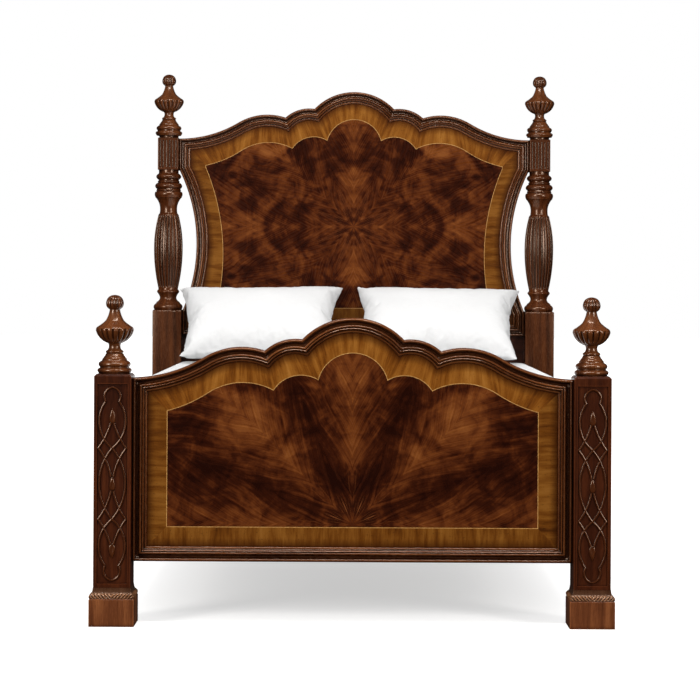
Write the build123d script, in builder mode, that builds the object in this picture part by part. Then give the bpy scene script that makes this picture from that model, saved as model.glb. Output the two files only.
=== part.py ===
"""A low four-poster queen bed in carved and turned mahogany, with scalloped, veneered head and foot boards.

Frame: millimetres, +Z up, origin on the floor at the middle of the bed. The headboard stands at +Y and the
footboard at -Y, and both boards show their front to -Y. Left is -X.
"""
from build123d import *

import os
from math import atan2, cos, hypot, pi, sin, sqrt

os.makedirs("parts", exist_ok=True)

# ---- driving dimensions --------------------------------------------------------------------------
POST = 125                    # square part of every post
POST_X, POST_Y = 810, 1065    # post centres
FOOT_POST_TOP, HEAD_LEG_TOP = 850, 1043
HEAD_BLOCK, HEAD_BLOCK_BOTTOM, HEAD_BLOCK_TOP = 89, 1653, 1793
HEAD_NECK_R, HEAD_POST_TOP = 43, 1804
PLINTH, PLINTH_H, GADROON_H = 152, 94, 36
FOOT_CREST, HEAD_CREST = 1043, 1998
FOOT_BOTTOM, HEAD_BOTTOM, LOWER_BOARD_BOTTOM = 214, 935, 330
VENEER, CORE = 1, 25          # face veneer and board core thickness
RIM, MOULD_W = 12, 50         # edge rim and whole width of the frame moulding
STRING_W = 2.5                # width of the inlaid line
FIELD_HALF_W, FOOT_FIELD_BOTTOM, HEAD_FIELD_BOTTOM = 632, 329, 1052
RAIL_IN_X, RAIL_T, RAIL_BOTTOM, RAIL_H = 772, 38, 235, 220
LEDGER_T, LEDGER_H, LEDGER_L, LEDGER_BOTTOM = 26, 30, 1900, 245
SLAT_W, SLAT_T, SLAT_COUNT, SLAT_PITCH = 90, 20, 9, 225
BEAM_W, BEAM_H, BEAM_L = 40, 50, 1920
LEG, LEG_BOTTOM, LEG_Y = 44, 40, 675   # one leg, under a slat of the sleepers' half
FOUNDATION_W, FOUNDATION_L, FOUNDATION_TOP = 1520, 2028, 520
MATTRESS_W, MATTRESS_L, MATTRESS_TOP = 1524, 2032, 830
PILLOW_W, PILLOW_H, PILLOW_T, PILLOW_LEAN = 680, 430, 150, 39
PILLOW_X = (-398, 360)
GAP = 0.1                     # room around dowels, screws, bolts and tenons
REST_GAP = 0.3                # room between bedding and what it lies on

POST_IN_X, POST_IN_Y = POST_X - POST / 2, POST_Y - POST / 2
BLOCK_IN_X = POST_X - HEAD_BLOCK / 2
RAIL_MID_X = RAIL_IN_X + RAIL_T / 2
SLAT_TOP = LEDGER_BOTTOM + LEDGER_H + SLAT_T
SIDES = ((-1, "left"), (1, "right"))
ENDS = ((-1, "footboard"), (1, "headboard"))

# Circles of the scalloped top edge: centre x, centre z below the crest, radius, and 1 where it is convex.
EDGE_ARCS = ((0, -241, 241, 1), (196, -227.4, 155, 1), (378, -350.4, 250, 1), (763.2, 293.1, 500, -1))
FIELD_ARCS = ((0, -241, 123, 1), (175.5, -308, 114, 1), (372.6, -440, 220, 1), (742, 119, 450, -1))
# The hollow side of the headboard and of its field: upper end, waist and lower end.
HEAD_SIDE = ((BLOCK_IN_X, 1660), (687, 1355), (POST_IN_X, 1038))
HEAD_FIELD_SIDE = ((650, 1667), (575, 1355), (598, 1062))
# Steps of the frame moulding: inset from, inset to, height in front of the panel, depth behind its face.
MOULD_STEPS = ((0, RIM, 20, 29), (RIM, 26, 13, VENEER), (26, 42, 17, VENEER), (42, MOULD_W, 8, VENEER))

# Turned outlines, from the bottom up: radius, height, and how far the stretch up to there bulges outwards.
FINIAL = (
    (53, 0, 0), (53, 4, 0), (50, 20, 5), (50, 23, 0), (50, 42, 4), (43, 47, 0), (36, 57, -1), (30, 66, -1),
    (28.5, 68, 0), (27, 79, 3), (21, 86, -1), (23, 103, -2), (64.2, 146, 8), (58.4, 159, 2), (31, 180, -1),
    (17.4, 217, -2), (19, 217.5, 0), (30.2, 239, 4), (2, 267, 6.5),
)
HEAD_TURNING = (
    (59, HEAD_LEG_TOP, 0), (57, 1071, 6), (50, 1077, 0), (42, 1114, -10), (43, 1115, 0), (43, 1131, 4.5),
    (42.6, 1137, 0), (62.5, 1310, 5), (43.9, 1460, 5), (38, 1469, 0), (57, 1534, -7), (58, 1536, 0),
    (58, 1558, 2.5), (51, 1561, 0), (51, 1571, 0), (51, 1603, 8), (44, 1605, 0), (44, 1611, 0),
    (44, 1638, 10.5), (HEAD_NECK_R, 1640, 0), (HEAD_NECK_R, HEAD_BLOCK_BOTTOM, 0),
)
TENON_R, TENON_L = 9, 34              # finial tenons
FOOT_TENON_R, FOOT_TENON_L = 20, 56   # post tenons in the plinth blocks

# Fittings
HOOK_Z = 345                  # middle height of the rail fittings
PLATE_W, PLATE_H, PLATE_T = 22, 150, 3
HOOK_PITCH, HOOK_T, HOOK_H, HOOK_REACH = 80, 2.5, 20, 15
HOOK_RISE, LIP_DROP, LIP_H, LIP_ROOM = 3, 9, 5, 1   # the hook, and the lip that catches behind the plate
SLOT_W, SLOT_H, POCKET_DEPTH = 4, 32, 20
SCREW_R, SCREW_HEAD_R, SCREW_HEAD_H = 2, 4, 2.5
PLATE_SCREW_Z, PLATE_SCREW_L = 62, 28
DOWEL_R, DOWEL_L = 6, 60
DOWEL_DEPTH = 14              # dowel axis behind the face of a board
FOOT_DOWEL_Z, LOWER_DOWEL_Z, HEAD_DOWEL_Z = (300, 500, 700), (420, 800), (975,)
BLOCK_DOWEL_Z = 1725


# ---- outlines ------------------------------------------------------------------------------------
def on_circle(centre, radius, angle):
    return (centre[0] + radius * cos(angle), centre[1] + radius * sin(angle))


def arc_through(centre, radius, start, end):
    """Start, middle and end of the shorter arc between two points of a circle."""
    a = atan2(start[1] - centre[1], start[0] - centre[0])
    b = atan2(end[1] - centre[1], end[0] - centre[0])
    turn = (b - a + pi) % (2 * pi) - pi
    return (start, on_circle(centre, radius, a + turn / 2), end)


def upper_crossing(c0, r0, c1, r1):
    """The higher of the two points where two circles cross."""
    dx, dz = c1[0] - c0[0], c1[1] - c0[1]
    gap = hypot(dx, dz)
    along = (gap * gap + r0 * r0 - r1 * r1) / (2 * gap)
    off = sqrt(r0 * r0 - along * along)
    mid = (c0[0] + along * dx / gap, c0[1] + along * dz / gap)
    crossings = [(mid[0] + s * off * dz / gap, mid[1] - s * off * dx / gap) for s in (-1, 1)]
    return max(crossings, key=lambda point: point[1])


def scallops(arcs, crest, inset, end_x):
    """Right half of the top edge, as arcs from the crest down to end_x, moved inwards by inset."""
    circles = [((x, crest + z), r - bulge * inset) for x, z, r, bulge in arcs]
    (c0, r0), (c1, r1), (c2, r2), (c3, r3) = circles
    span = hypot(c3[0] - c2[0], c3[1] - c2[1])
    joint = (c2[0] + r2 * (c3[0] - c2[0]) / span, c2[1] + r2 * (c3[1] - c2[1]) / span)
    end = (end_x, c3[1] - sqrt(r3 * r3 - (end_x - c3[0]) ** 2))
    stops = [(0, c0[1] + r0), upper_crossing(c0, r0, c1, r1), upper_crossing(c1, r1, c2, r2), joint, end]
    return [arc_through(c, r, stops[i], stops[i + 1]) for i, (c, r) in enumerate(circles)]


def hollow_side(points, inset, top_x, bottom_x):
    """The hollow side through three points, moved inwards by inset and cut at two upright lines."""
    (x0, z0), (x1, z1), (x2, z2) = points
    d = 2 * (x0 * (z1 - z2) + x1 * (z2 - z0) + x2 * (z0 - z1))
    s0, s1, s2 = x0 * x0 + z0 * z0, x1 * x1 + z1 * z1, x2 * x2 + z2 * z2
    centre = ((s0 * (z1 - z2) + s1 * (z2 - z0) + s2 * (z0 - z1)) / d,
              (s0 * (x2 - x1) + s1 * (x0 - x2) + s2 * (x1 - x0)) / d)
    radius = hypot(x0 - centre[0], z0 - centre[1]) + inset
    top = (top_x, centre[1] + sqrt(radius ** 2 - (top_x - centre[0]) ** 2))
    bottom = (bottom_x, centre[1] - sqrt(radius ** 2 - (bottom_x - centre[0]) ** 2))
    return arc_through(centre, radius, top, bottom)


def foot_outline(inset):
    top = scallops(EDGE_ARCS, FOOT_CREST, inset, POST_IN_X - inset)
    corner = (POST_IN_X - inset, FOOT_BOTTOM + inset)
    return top + [(top[-1][2], corner), (corner, (0, corner[1]))]


def head_outline(inset):
    top = scallops(EDGE_ARCS, HEAD_CREST, inset, BLOCK_IN_X - inset)
    side = hollow_side(HEAD_SIDE, inset, BLOCK_IN_X - inset, POST_IN_X - inset)
    corner = (POST_IN_X - inset, HEAD_BOTTOM + inset)
    return top + [(top[-1][2], side[0]), side, (side[2], corner), (corner, (0, corner[1]))]


def foot_field(inset):
    top = scallops(FIELD_ARCS, FOOT_CREST, inset, FIELD_HALF_W - inset)
    corner = (FIELD_HALF_W - inset, FOOT_FIELD_BOTTOM + inset)
    return top + [(top[-1][2], corner), (corner, (0, corner[1]))]


def head_field(inset):
    top = scallops(FIELD_ARCS, HEAD_CREST, inset, HEAD_FIELD_SIDE[0][0] - inset)
    low_x = HEAD_FIELD_SIDE[2][0] - inset
    side = hollow_side(HEAD_FIELD_SIDE, inset, HEAD_FIELD_SIDE[0][0] - inset, low_x)
    corner = (low_x, HEAD_FIELD_BOTTOM + inset)
    return top + [(top[-1][2], side[0]), side, (side[2], corner), (corner, (0, corner[1]))]


def closed_edges(half):
    """Edges of the closed outline made of the given right half and its mirror image."""
    with BuildLine() as line:
        for piece in half:
            if len(piece) == 3:
                ThreePointArc(*piece)
            elif hypot(piece[0][0] - piece[1][0], piece[0][1] - piece[1][1]) > 0.01:
                Line(*piece)
        mirror(about=Plane.YZ)
    return line.edges()


def turned_edges(stops):
    """Edges of a turned outline, closed along the axis, ready to make a face and revolve."""
    with BuildLine() as line:
        r0, z0, _ = stops[0]
        Line((0, z0), (r0, z0))
        for r1, z1, bulge in stops[1:]:
            length = hypot(r1 - r0, z1 - z0)
            if bulge:
                swell = bulge / length
                middle = ((r0 + r1) / 2 + swell * (z1 - z0), (z0 + z1) / 2 - swell * (r1 - r0))
                ThreePointArc((r0, z0), middle, (r1, z1))
            else:
                Line((r0, z0), (r1, z1))
            r0, z0 = r1, z1
        Polyline((r0, z0), (0, z0), (0, stops[0][1]))
    return line.edges()


def upright(x, y, z=0):
    """Upright plane through a point, facing -Y."""
    return Plane(origin=(x, y, z), x_dir=(1, 0, 0), z_dir=(0, -1, 0))


def board_plane(end, depth):
    """Plane parallel to a board at a depth behind its face; end is -1 at the foot."""
    return upright(0, end * POST_Y + depth)


def save(builder, name):
    builder.part.label = name
    export_step(builder.part, f"parts/{name}.step")


# ---- shared cuts and fittings --------------------------------------------------------------------
def dowel_places(side, end, heights, face_x):
    return [(side * face_x, end * POST_Y + DOWEL_DEPTH, z) for z in heights]


def cut_dowels(places):
    with Locations(*places):
        Cylinder(DOWEL_R + GAP, DOWEL_L + 1, rotation=(0, 90, 0), mode=Mode.SUBTRACT)


def plate_screw_places(side, end, into_post):
    """Screws of one rail plate, each pointing into its wood, with the head flush with the plate's face."""
    turn = (-90 * end, 0, 0) if into_post else (90 * end, 0, 0)
    return [Location((side * RAIL_MID_X, end * POST_IN_Y, HOOK_Z + dz), turn)
            for dz in (-PLATE_SCREW_Z, PLATE_SCREW_Z)]


def screws(places, length, room=0, mode=Mode.ADD):
    """Countersunk screws along each place's own Z, or with room the holes for them."""
    with Locations(*places):
        Cylinder(SCREW_R + room, length + room, align=(Align.CENTER, Align.CENTER, Align.MIN), mode=mode)
        Cone(SCREW_HEAD_R + room, SCREW_R + room, SCREW_HEAD_H,
             align=(Align.CENTER, Align.CENTER, Align.MIN), mode=mode)


def cut_post_fittings(side, end):
    """Recess, pockets and screw holes for the slotted plate of one post."""
    face = end * POST_IN_Y
    with Locations((side * RAIL_MID_X, face + end * PLATE_T / 2, HOOK_Z)):
        Box(PLATE_W, PLATE_T, PLATE_H, mode=Mode.SUBTRACT)
    for step in (-1, 1):
        deep = face + end * (PLATE_T + POCKET_DEPTH) / 2
        with Locations((side * RAIL_MID_X, deep, HOOK_Z + step * HOOK_PITCH / 2)):
            Box(SLOT_W + 4, POCKET_DEPTH - PLATE_T, SLOT_H + 2, mode=Mode.SUBTRACT)
    screws(plate_screw_places(side, end, True), PLATE_SCREW_L, GAP, Mode.SUBTRACT)


# ---- posts, plinths and finials ------------------------------------------------------------------
FRET_W, FRET_LOW, FRET_HIGH, FRET_SINK = 103, 144, 817, 4


def make_foot_post(side, name):
    x, y = side * POST_X, -POST_Y
    fret_mid, fret_h = (FRET_LOW + FRET_HIGH) / 2, FRET_HIGH - FRET_LOW
    with BuildPart() as post:
        with Locations((x, y, (PLINTH_H + FOOT_POST_TOP) / 2)):
            Box(POST, POST, FOOT_POST_TOP - PLINTH_H)
        chamfer(post.faces().sort_by(Axis.Z)[-1].edges(), 7)
        with Locations((x, y - (POST - FRET_SINK) / 2, fret_mid)):
            Box(FRET_W, FRET_SINK, fret_h, mode=Mode.SUBTRACT)
        with Locations((x + side * (POST - FRET_SINK) / 2, y, fret_mid)):
            Box(FRET_SINK, FRET_W, fret_h, mode=Mode.SUBTRACT)
        with Locations((x, y, PLINTH_H - FOOT_TENON_L / 2)):
            Cylinder(FOOT_TENON_R, FOOT_TENON_L)
        with Locations((x, y, FOOT_POST_TOP - TENON_L / 2)):
            Cylinder(TENON_R + GAP, TENON_L + 1, mode=Mode.SUBTRACT)
        cut_post_fittings(side, -1)
        cut_dowels(dowel_places(side, -1, FOOT_DOWEL_Z, POST_IN_X))
    save(post, f"footboard_post_{name}")


def make_head_post(side, name):
    x, y = side * POST_X, POST_Y
    with BuildPart() as post:
        with Locations((x, y, (PLINTH_H + HEAD_LEG_TOP) / 2)):
            Box(POST, POST, HEAD_LEG_TOP - PLINTH_H)
        chamfer(post.faces().sort_by(Axis.Z)[-1].edges(), 3)
        with BuildSketch(upright(x, y)):
            make_face(turned_edges(HEAD_TURNING))
        revolve(axis=Axis((x, y, 0), (0, 0, 1)))
        with Locations((x, y, (HEAD_BLOCK_BOTTOM + HEAD_BLOCK_TOP) / 2)):
            Box(HEAD_BLOCK, HEAD_BLOCK, HEAD_BLOCK_TOP - HEAD_BLOCK_BOTTOM)
        with Locations((x, y, (HEAD_BLOCK_TOP + HEAD_POST_TOP) / 2)):
            Cylinder(HEAD_NECK_R, HEAD_POST_TOP - HEAD_BLOCK_TOP)
        with Locations((x, y, PLINTH_H - FOOT_TENON_L / 2)):
            Cylinder(FOOT_TENON_R, FOOT_TENON_L)
        with Locations((x, y, HEAD_POST_TOP - TENON_L / 2)):
            Cylinder(TENON_R + GAP, TENON_L + 1, mode=Mode.SUBTRACT)
        cut_post_fittings(side, 1)
        cut_dowels(dowel_places(side, 1, LOWER_DOWEL_Z + HEAD_DOWEL_Z, POST_IN_X))
        cut_dowels(dowel_places(side, 1, (BLOCK_DOWEL_Z,), BLOCK_IN_X))
    save(post, f"headboard_post_{name}")


def make_finial(x, y, base, name):
    tenon = ((TENON_R, -TENON_L, 0), (TENON_R, 0, 0))
    with BuildPart() as finial:
        with BuildSketch(upright(x, y, base)):
            make_face(turned_edges(tenon + FINIAL))
        revolve(axis=Axis((x, y, 0), (0, 0, 1)))
    save(finial, name)


def make_plinth(x, y, name):
    with BuildPart() as plinth:
        with Locations((x, y, PLINTH_H / 2)):
            Box(PLINTH, PLINTH, PLINTH_H)
        chamfer(plinth.faces().sort_by(Axis.Z)[-1].edges(), 3)
        with Locations((x, y, PLINTH_H)):
            Hole(FOOT_TENON_R + GAP, FOOT_TENON_L + 1)
    save(plinth, name)


def make_gadroon(x, y, name):
    with BuildPart() as gadroon:
        with BuildSketch(Plane(origin=(x, y, PLINTH_H))):
            Rectangle(PLINTH - 7, PLINTH - 7)
        with BuildSketch(Plane(origin=(x, y, PLINTH_H + GADROON_H))):
            Rectangle(POST + 3, POST + 3)
        loft()
        with Locations((x, y, PLINTH_H + GADROON_H / 2)):
            Box(POST + 2 * GAP, POST + 2 * GAP, GADROON_H, mode=Mode.SUBTRACT)
    save(gadroon, name)


# ---- strapwork on the foot posts -----------------------------------------------------------------
FRET_STRAP, FRET_T = 6, 3.5
FRET_OVAL_X, FRET_OVAL_Z, FRET_CROSS_Z = 44, 195, 120   # widest point of the end ovals, and the crossings
FRET_LOBE_R, FRET_LOBE_Z, FRET_WAIST = 28, 298.5, (20, 278)
FRET_DROP_X, FRET_DROP_Z, FRET_DROP_H = 11, 222, 23
FRET_DIAMOND_FAR, FRET_DIAMOND_NEAR = ((9, 202), (24, 168)), ((24, 66), (9, 20))


def strap_edges():
    """Centre lines of the straps on one face: ovals, diamonds and end lobes, about the middle."""
    waist_x, waist_z = FRET_WAIST
    (far_x, far_z), (out_x, out_z) = FRET_DIAMOND_FAR
    (in_x, in_z), (near_x, near_z) = FRET_DIAMOND_NEAR
    with BuildLine() as line:
        ThreePointArc((0, -FRET_CROSS_Z), (FRET_OVAL_X, 0), (0, FRET_CROSS_Z))
        for end in (-1, 1):
            point = (FRET_OVAL_X, end * FRET_CROSS_Z)
            ThreePointArc((0, end * FRET_CROSS_Z), (FRET_OVAL_X, end * FRET_OVAL_Z),
                          (waist_x, end * waist_z))
            ThreePointArc((far_x, end * far_z), (out_x, end * out_z), point)
            ThreePointArc(point, (in_x, end * in_z), (near_x, end * near_z))
            ThreePointArc((waist_x, end * waist_z), (FRET_LOBE_R, end * FRET_LOBE_Z),
                          (0, end * (FRET_LOBE_Z + FRET_LOBE_R)))
        mirror(about=Plane.YZ)
    return line.edges()


def make_fret(side, name):
    middle = (FRET_LOW + FRET_HIGH) / 2
    reach = POST / 2 - FRET_SINK
    front = Plane(origin=(side * POST_X, -POST_Y - reach, middle), x_dir=(1, 0, 0), z_dir=(0, -1, 0))
    outer = Plane(origin=(side * (POST_X + reach), -POST_Y, middle), x_dir=(0, side, 0), z_dir=(side, 0, 0))
    with BuildPart() as fret:
        for face in (front, outer):
            with BuildSketch(face):
                for edge in strap_edges():
                    trace(edge, FRET_STRAP)
                with Locations((0, -FRET_DROP_Z), (0, 0), (0, FRET_DROP_Z)):
                    Ellipse(FRET_DROP_X, FRET_DROP_H)
            extrude(amount=FRET_T)
    save(fret, f"footboard_fret_{name}")


# ---- boards --------------------------------------------------------------------------------------
def make_slab(name, end, outer, front, back, hole=None, dowels=()):
    """A flat layer of a board between two depths, with an optional hole and dowel holes."""
    with BuildPart() as slab:
        with BuildSketch(board_plane(end, back)):
            make_face(closed_edges(outer))
            if hole:
                make_face(closed_edges(hole), mode=Mode.SUBTRACT)
        extrude(amount=back - front)
        if dowels:
            cut_dowels(dowels)
    save(slab, name)


def mitre_corners(outline, corner_index):
    """The points of one mitre: inside the moulding and a little outside its outer corner."""
    outside, inside = outline(0)[corner_index][0], outline(MOULD_W)[corner_index][0]
    beyond = (outside[0] + (outside[0] - inside[0]) / 5, outside[1] + (outside[1] - inside[1]) / 5)
    return inside, beyond


def flipped(points):
    return [(-x, z) for x, z in reversed(points)]


def make_moulding(name, end, outline, region, dowels=()):
    """The stretch of a board's frame moulding that lies inside a region."""
    with BuildPart() as moulding:
        for near, far, front, back in MOULD_STEPS:
            with BuildSketch(board_plane(end, back)):
                make_face(closed_edges(outline(near)))
                make_face(closed_edges(outline(far)), mode=Mode.SUBTRACT)
                Polygon(*region, align=None, mode=Mode.INTERSECT)
            extrude(amount=front + back)
        if dowels:
            cut_dowels(dowels)
    save(moulding, name)


def make_board(end, board, outline, field, dowels):
    top_in, top_out = mitre_corners(outline, 4)
    low_in, low_out = mitre_corners(outline, -1)
    above, below = 2 * HEAD_CREST, 0
    crest = [top_in, top_out, (top_out[0], above)]
    sill = [(low_out[0], below), low_out, low_in]
    make_moulding(f"{board}_crest_moulding", end, outline, crest + flipped(crest))
    make_moulding(f"{board}_bottom_moulding", end, outline, sill + flipped(sill))
    side = [top_in, top_out, low_out, low_in, (FIELD_HALF_W / 2, (top_in[1] + low_in[1]) / 2)]
    make_moulding(f"{board}_side_moulding_right", end, outline, side, dowels)
    make_moulding(f"{board}_side_moulding_left", end, outline, flipped(side), dowels)
    make_slab(f"{board}_panel", end, outline(RIM), VENEER, VENEER + CORE, dowels=dowels)
    make_slab(f"{board}_crossband", end, outline(MOULD_W), 0, VENEER, hole=field(0))
    make_slab(f"{board}_stringing", end, field(0), 0, VENEER, hole=field(STRING_W))
    make_slab(f"{board}_field", end, field(STRING_W), 0, VENEER)


LOWER_BOARD_SETBACK = 4       # front of the plain board behind the face of the headboard


def make_lower_board(dowels):
    front, back = LOWER_BOARD_SETBACK, VENEER + CORE
    with BuildPart() as board:
        with BuildSketch(board_plane(1, back)):
            with Locations((0, (LOWER_BOARD_BOTTOM + HEAD_BOTTOM) / 2)):
                Rectangle(2 * POST_IN_X, HEAD_BOTTOM - LOWER_BOARD_BOTTOM)
        extrude(amount=back - front)
        cut_dowels(dowels)
    save(board, "headboard_lower_board")


def make_dowels(name, places):
    with BuildPart() as dowels:
        with Locations(*places):
            Cylinder(DOWEL_R, DOWEL_L, rotation=(0, 90, 0))
    save(dowels, name)


foot_dowels = [place for side, _ in SIDES for place in dowel_places(side, -1, FOOT_DOWEL_Z, POST_IN_X)]
lower_dowels = [place for side, _ in SIDES for place in dowel_places(side, 1, LOWER_DOWEL_Z, POST_IN_X)]
upper_dowels = [place for side, _ in SIDES for place in dowel_places(side, 1, HEAD_DOWEL_Z, POST_IN_X)
                + dowel_places(side, 1, (BLOCK_DOWEL_Z,), BLOCK_IN_X)]

make_board(-1, "footboard", foot_outline, foot_field, foot_dowels)
make_board(1, "headboard", head_outline, head_field, upper_dowels)
make_lower_board(lower_dowels)
make_dowels("footboard_dowels", foot_dowels)
make_dowels("headboard_dowels", lower_dowels + upper_dowels)

for side, name in SIDES:
    make_foot_post(side, name)
    make_head_post(side, name)
    make_fret(side, name)
    make_finial(side * POST_X, -POST_Y, FOOT_POST_TOP, f"footboard_finial_{name}")
    make_finial(side * POST_X, POST_Y, HEAD_POST_TOP, f"headboard_finial_{name}")
    for end, board in ENDS:
        make_plinth(side * POST_X, end * POST_Y, f"{board}_plinth_{name}")
        make_gadroon(side * POST_X, end * POST_Y, f"{board}_gadroon_{name}")


# ---- rails, their fittings and the slats ---------------------------------------------------------
SLAT_YS = [(row - (SLAT_COUNT - 1) / 2) * SLAT_PITCH for row in range(SLAT_COUNT)]
SLAT_SCREW_L, SLAT_SCREW_X = 32, RAIL_IN_X - LEDGER_T / 2
LEDGER_SCREW_L = 45
LEDGER_SCREW_YS = [y + SLAT_PITCH / 2 for y in SLAT_YS[:-1]]
LEDGER_Z = LEDGER_BOTTOM + LEDGER_H / 2


def ledger_screw_places(side):
    x, turn = side * (RAIL_IN_X - LEDGER_T), (0, side * 90, 0)
    return [Location((x, y, LEDGER_Z), turn) for y in LEDGER_SCREW_YS]


def slat_screw_places():
    """Screws straight down through the slats into the ledgers and the centre beam."""
    xs = (-SLAT_SCREW_X, 0, SLAT_SCREW_X)
    return [Location((x, y, SLAT_TOP), (180, 0, 0)) for x in xs for y in SLAT_YS]


def make_side_rail(side, name):
    with BuildPart() as rail:
        with Locations((side * RAIL_MID_X, 0, RAIL_BOTTOM + RAIL_H / 2)):
            Box(RAIL_T, 2 * POST_IN_Y, RAIL_H)
        chamfer(rail.edges().filter_by(Axis.Y), 3)
        for end in (-1, 1):
            with Locations((side * RAIL_MID_X, end * (POST_IN_Y - PLATE_T / 2), HOOK_Z)):
                Box(PLATE_W, PLATE_T, PLATE_H, mode=Mode.SUBTRACT)
            screws(plate_screw_places(side, end, False), PLATE_SCREW_L, GAP, Mode.SUBTRACT)
        screws(ledger_screw_places(side), LEDGER_SCREW_L, GAP, Mode.SUBTRACT)
    save(rail, f"side_rail_{name}")


def make_ledger(side, name):
    with BuildPart() as ledger:
        with Locations((side * (RAIL_IN_X - LEDGER_T / 2), 0, LEDGER_Z)):
            Box(LEDGER_T, LEDGER_L, LEDGER_H)
        screws(ledger_screw_places(side), LEDGER_SCREW_L, GAP, Mode.SUBTRACT)
        screws(slat_screw_places(), SLAT_SCREW_L, GAP, Mode.SUBTRACT)
    save(ledger, f"ledger_{name}")


def make_hook_plates():
    """Plates let into the rail ends, each with two hooks that drop behind the slotted plates."""
    with BuildPart() as plates:
        for side, _ in SIDES:
            for end, _ in ENDS:
                with Locations((side * RAIL_MID_X, end * (POST_IN_Y - PLATE_T / 2), HOOK_Z)):
                    Box(PLATE_W, PLATE_T, PLATE_H)
                for step in (-1, 1):
                    z = HOOK_Z + step * HOOK_PITCH / 2
                    with Locations((side * RAIL_MID_X, end * (POST_IN_Y + HOOK_REACH / 2), z + HOOK_RISE)):
                        Box(HOOK_T, HOOK_REACH, HOOK_H)
                    lip_y = end * (POST_IN_Y + (PLATE_T + LIP_ROOM + HOOK_REACH) / 2)
                    with Locations((side * RAIL_MID_X, lip_y, z - LIP_DROP)):
                        Box(HOOK_T, HOOK_REACH - PLATE_T - LIP_ROOM, LIP_H)
                screws(plate_screw_places(side, end, False), PLATE_SCREW_L, GAP, Mode.SUBTRACT)
    save(plates, "rail_hook_plates")


def make_slotted_plates():
    with BuildPart() as plates:
        for side, _ in SIDES:
            for end, _ in ENDS:
                with Locations((side * RAIL_MID_X, end * (POST_IN_Y + PLATE_T / 2), HOOK_Z)):
                    Box(PLATE_W, PLATE_T, PLATE_H)
                for step in (-1, 1):
                    z = HOOK_Z + step * HOOK_PITCH / 2
                    with Locations((side * RAIL_MID_X, end * (POST_IN_Y + PLATE_T / 2), z)):
                        Box(SLOT_W, PLATE_T, SLOT_H, mode=Mode.SUBTRACT)
                screws(plate_screw_places(side, end, True), PLATE_SCREW_L, GAP, Mode.SUBTRACT)
    save(plates, "post_slotted_plates")


def make_screws(name, places, length):
    with BuildPart() as group:
        screws(places, length)
    save(group, name)


def make_slats():
    with BuildPart() as slats:
        with Locations(*[(0, y, SLAT_TOP - SLAT_T / 2) for y in SLAT_YS]):
            Box(2 * (RAIL_IN_X - 1), SLAT_W, SLAT_T)
        screws(slat_screw_places(), SLAT_SCREW_L, GAP, Mode.SUBTRACT)
    save(slats, "slats")


for side, name in SIDES:
    make_side_rail(side, name)
    make_ledger(side, name)
make_hook_plates()
make_slotted_plates()
make_slats()
corners = [(side, end) for side, _ in SIDES for end, _ in ENDS]
for name, into_post in (("hook_plate_screws", False), ("slotted_plate_screws", True)):
    places = [place for corner in corners for place in plate_screw_places(*corner, into_post)]
    make_screws(name, places, PLATE_SCREW_L)
make_screws("ledger_screws", ledger_screw_places(-1) + ledger_screw_places(1), LEDGER_SCREW_L)
make_screws("slat_screws", slat_screw_places(), SLAT_SCREW_L)


# ---- centre support ------------------------------------------------------------------------------
BEAM_TOP = SLAT_TOP - SLAT_T
BEAM_BOTTOM = BEAM_TOP - BEAM_H
LEG_BOLT_R, LEG_BOLT_L = 4, 70
INSERT_R, INSERT_L, INSERT_FLANGE_R, INSERT_FLANGE_T = 8, 14, 13, 2
GLIDE_R, GLIDE_T, STEM_R, STEM_L, STEM_ROOM = 22, 12, 5, 58, 30
MID_BOTTOM = (Align.CENTER, Align.CENTER, Align.MIN)


def make_centre_beam():
    with BuildPart() as beam:
        with Locations((0, 0, BEAM_BOTTOM)):
            Box(BEAM_W, BEAM_L, BEAM_H, align=MID_BOTTOM)
        screws(slat_screw_places(), SLAT_SCREW_L, GAP, Mode.SUBTRACT)
        with Locations((0, LEG_Y, BEAM_BOTTOM)):
            Cylinder(LEG_BOLT_R + GAP, LEG_BOLT_L / 2 + 1, align=MID_BOTTOM, mode=Mode.SUBTRACT)
    save(beam, "centre_beam")


def make_centre_leg():
    with BuildPart() as leg:
        with Locations((0, LEG_Y, LEG_BOTTOM)):
            Box(LEG, LEG, BEAM_BOTTOM - LEG_BOTTOM, align=MID_BOTTOM)
        with Locations((0, LEG_Y, BEAM_BOTTOM - LEG_BOLT_L / 2 - 1)):
            Cylinder(LEG_BOLT_R + GAP, LEG_BOLT_L / 2 + 1, align=MID_BOTTOM, mode=Mode.SUBTRACT)
        with Locations((0, LEG_Y, LEG_BOTTOM)):
            Cylinder(INSERT_FLANGE_R + GAP, INSERT_FLANGE_T, align=MID_BOTTOM, mode=Mode.SUBTRACT)
            Cylinder(INSERT_R + GAP, INSERT_L + GAP, align=MID_BOTTOM, mode=Mode.SUBTRACT)
            Cylinder(STEM_R + 1, STEM_L + STEM_ROOM, align=MID_BOTTOM, mode=Mode.SUBTRACT)
    save(leg, "centre_leg")


def make_leveller():
    """Round glide on a threaded stem, which is drawn at its plain outside diameter."""
    with BuildPart() as leveller:
        with Locations((0, LEG_Y, 0)):
            Cylinder(GLIDE_R, GLIDE_T, align=MID_BOTTOM)
        chamfer(leveller.edges().filter_by(GeomType.CIRCLE), 1.5)
        with Locations((0, LEG_Y, GLIDE_T)):
            Cylinder(STEM_R, STEM_L, align=MID_BOTTOM)
    save(leveller, "leg_leveller")


def make_leg_bolt():
    with BuildPart() as bolt:
        with Locations((0, LEG_Y, BEAM_BOTTOM)):
            Cylinder(LEG_BOLT_R, LEG_BOLT_L)
    save(bolt, "leg_bolt")


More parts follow.
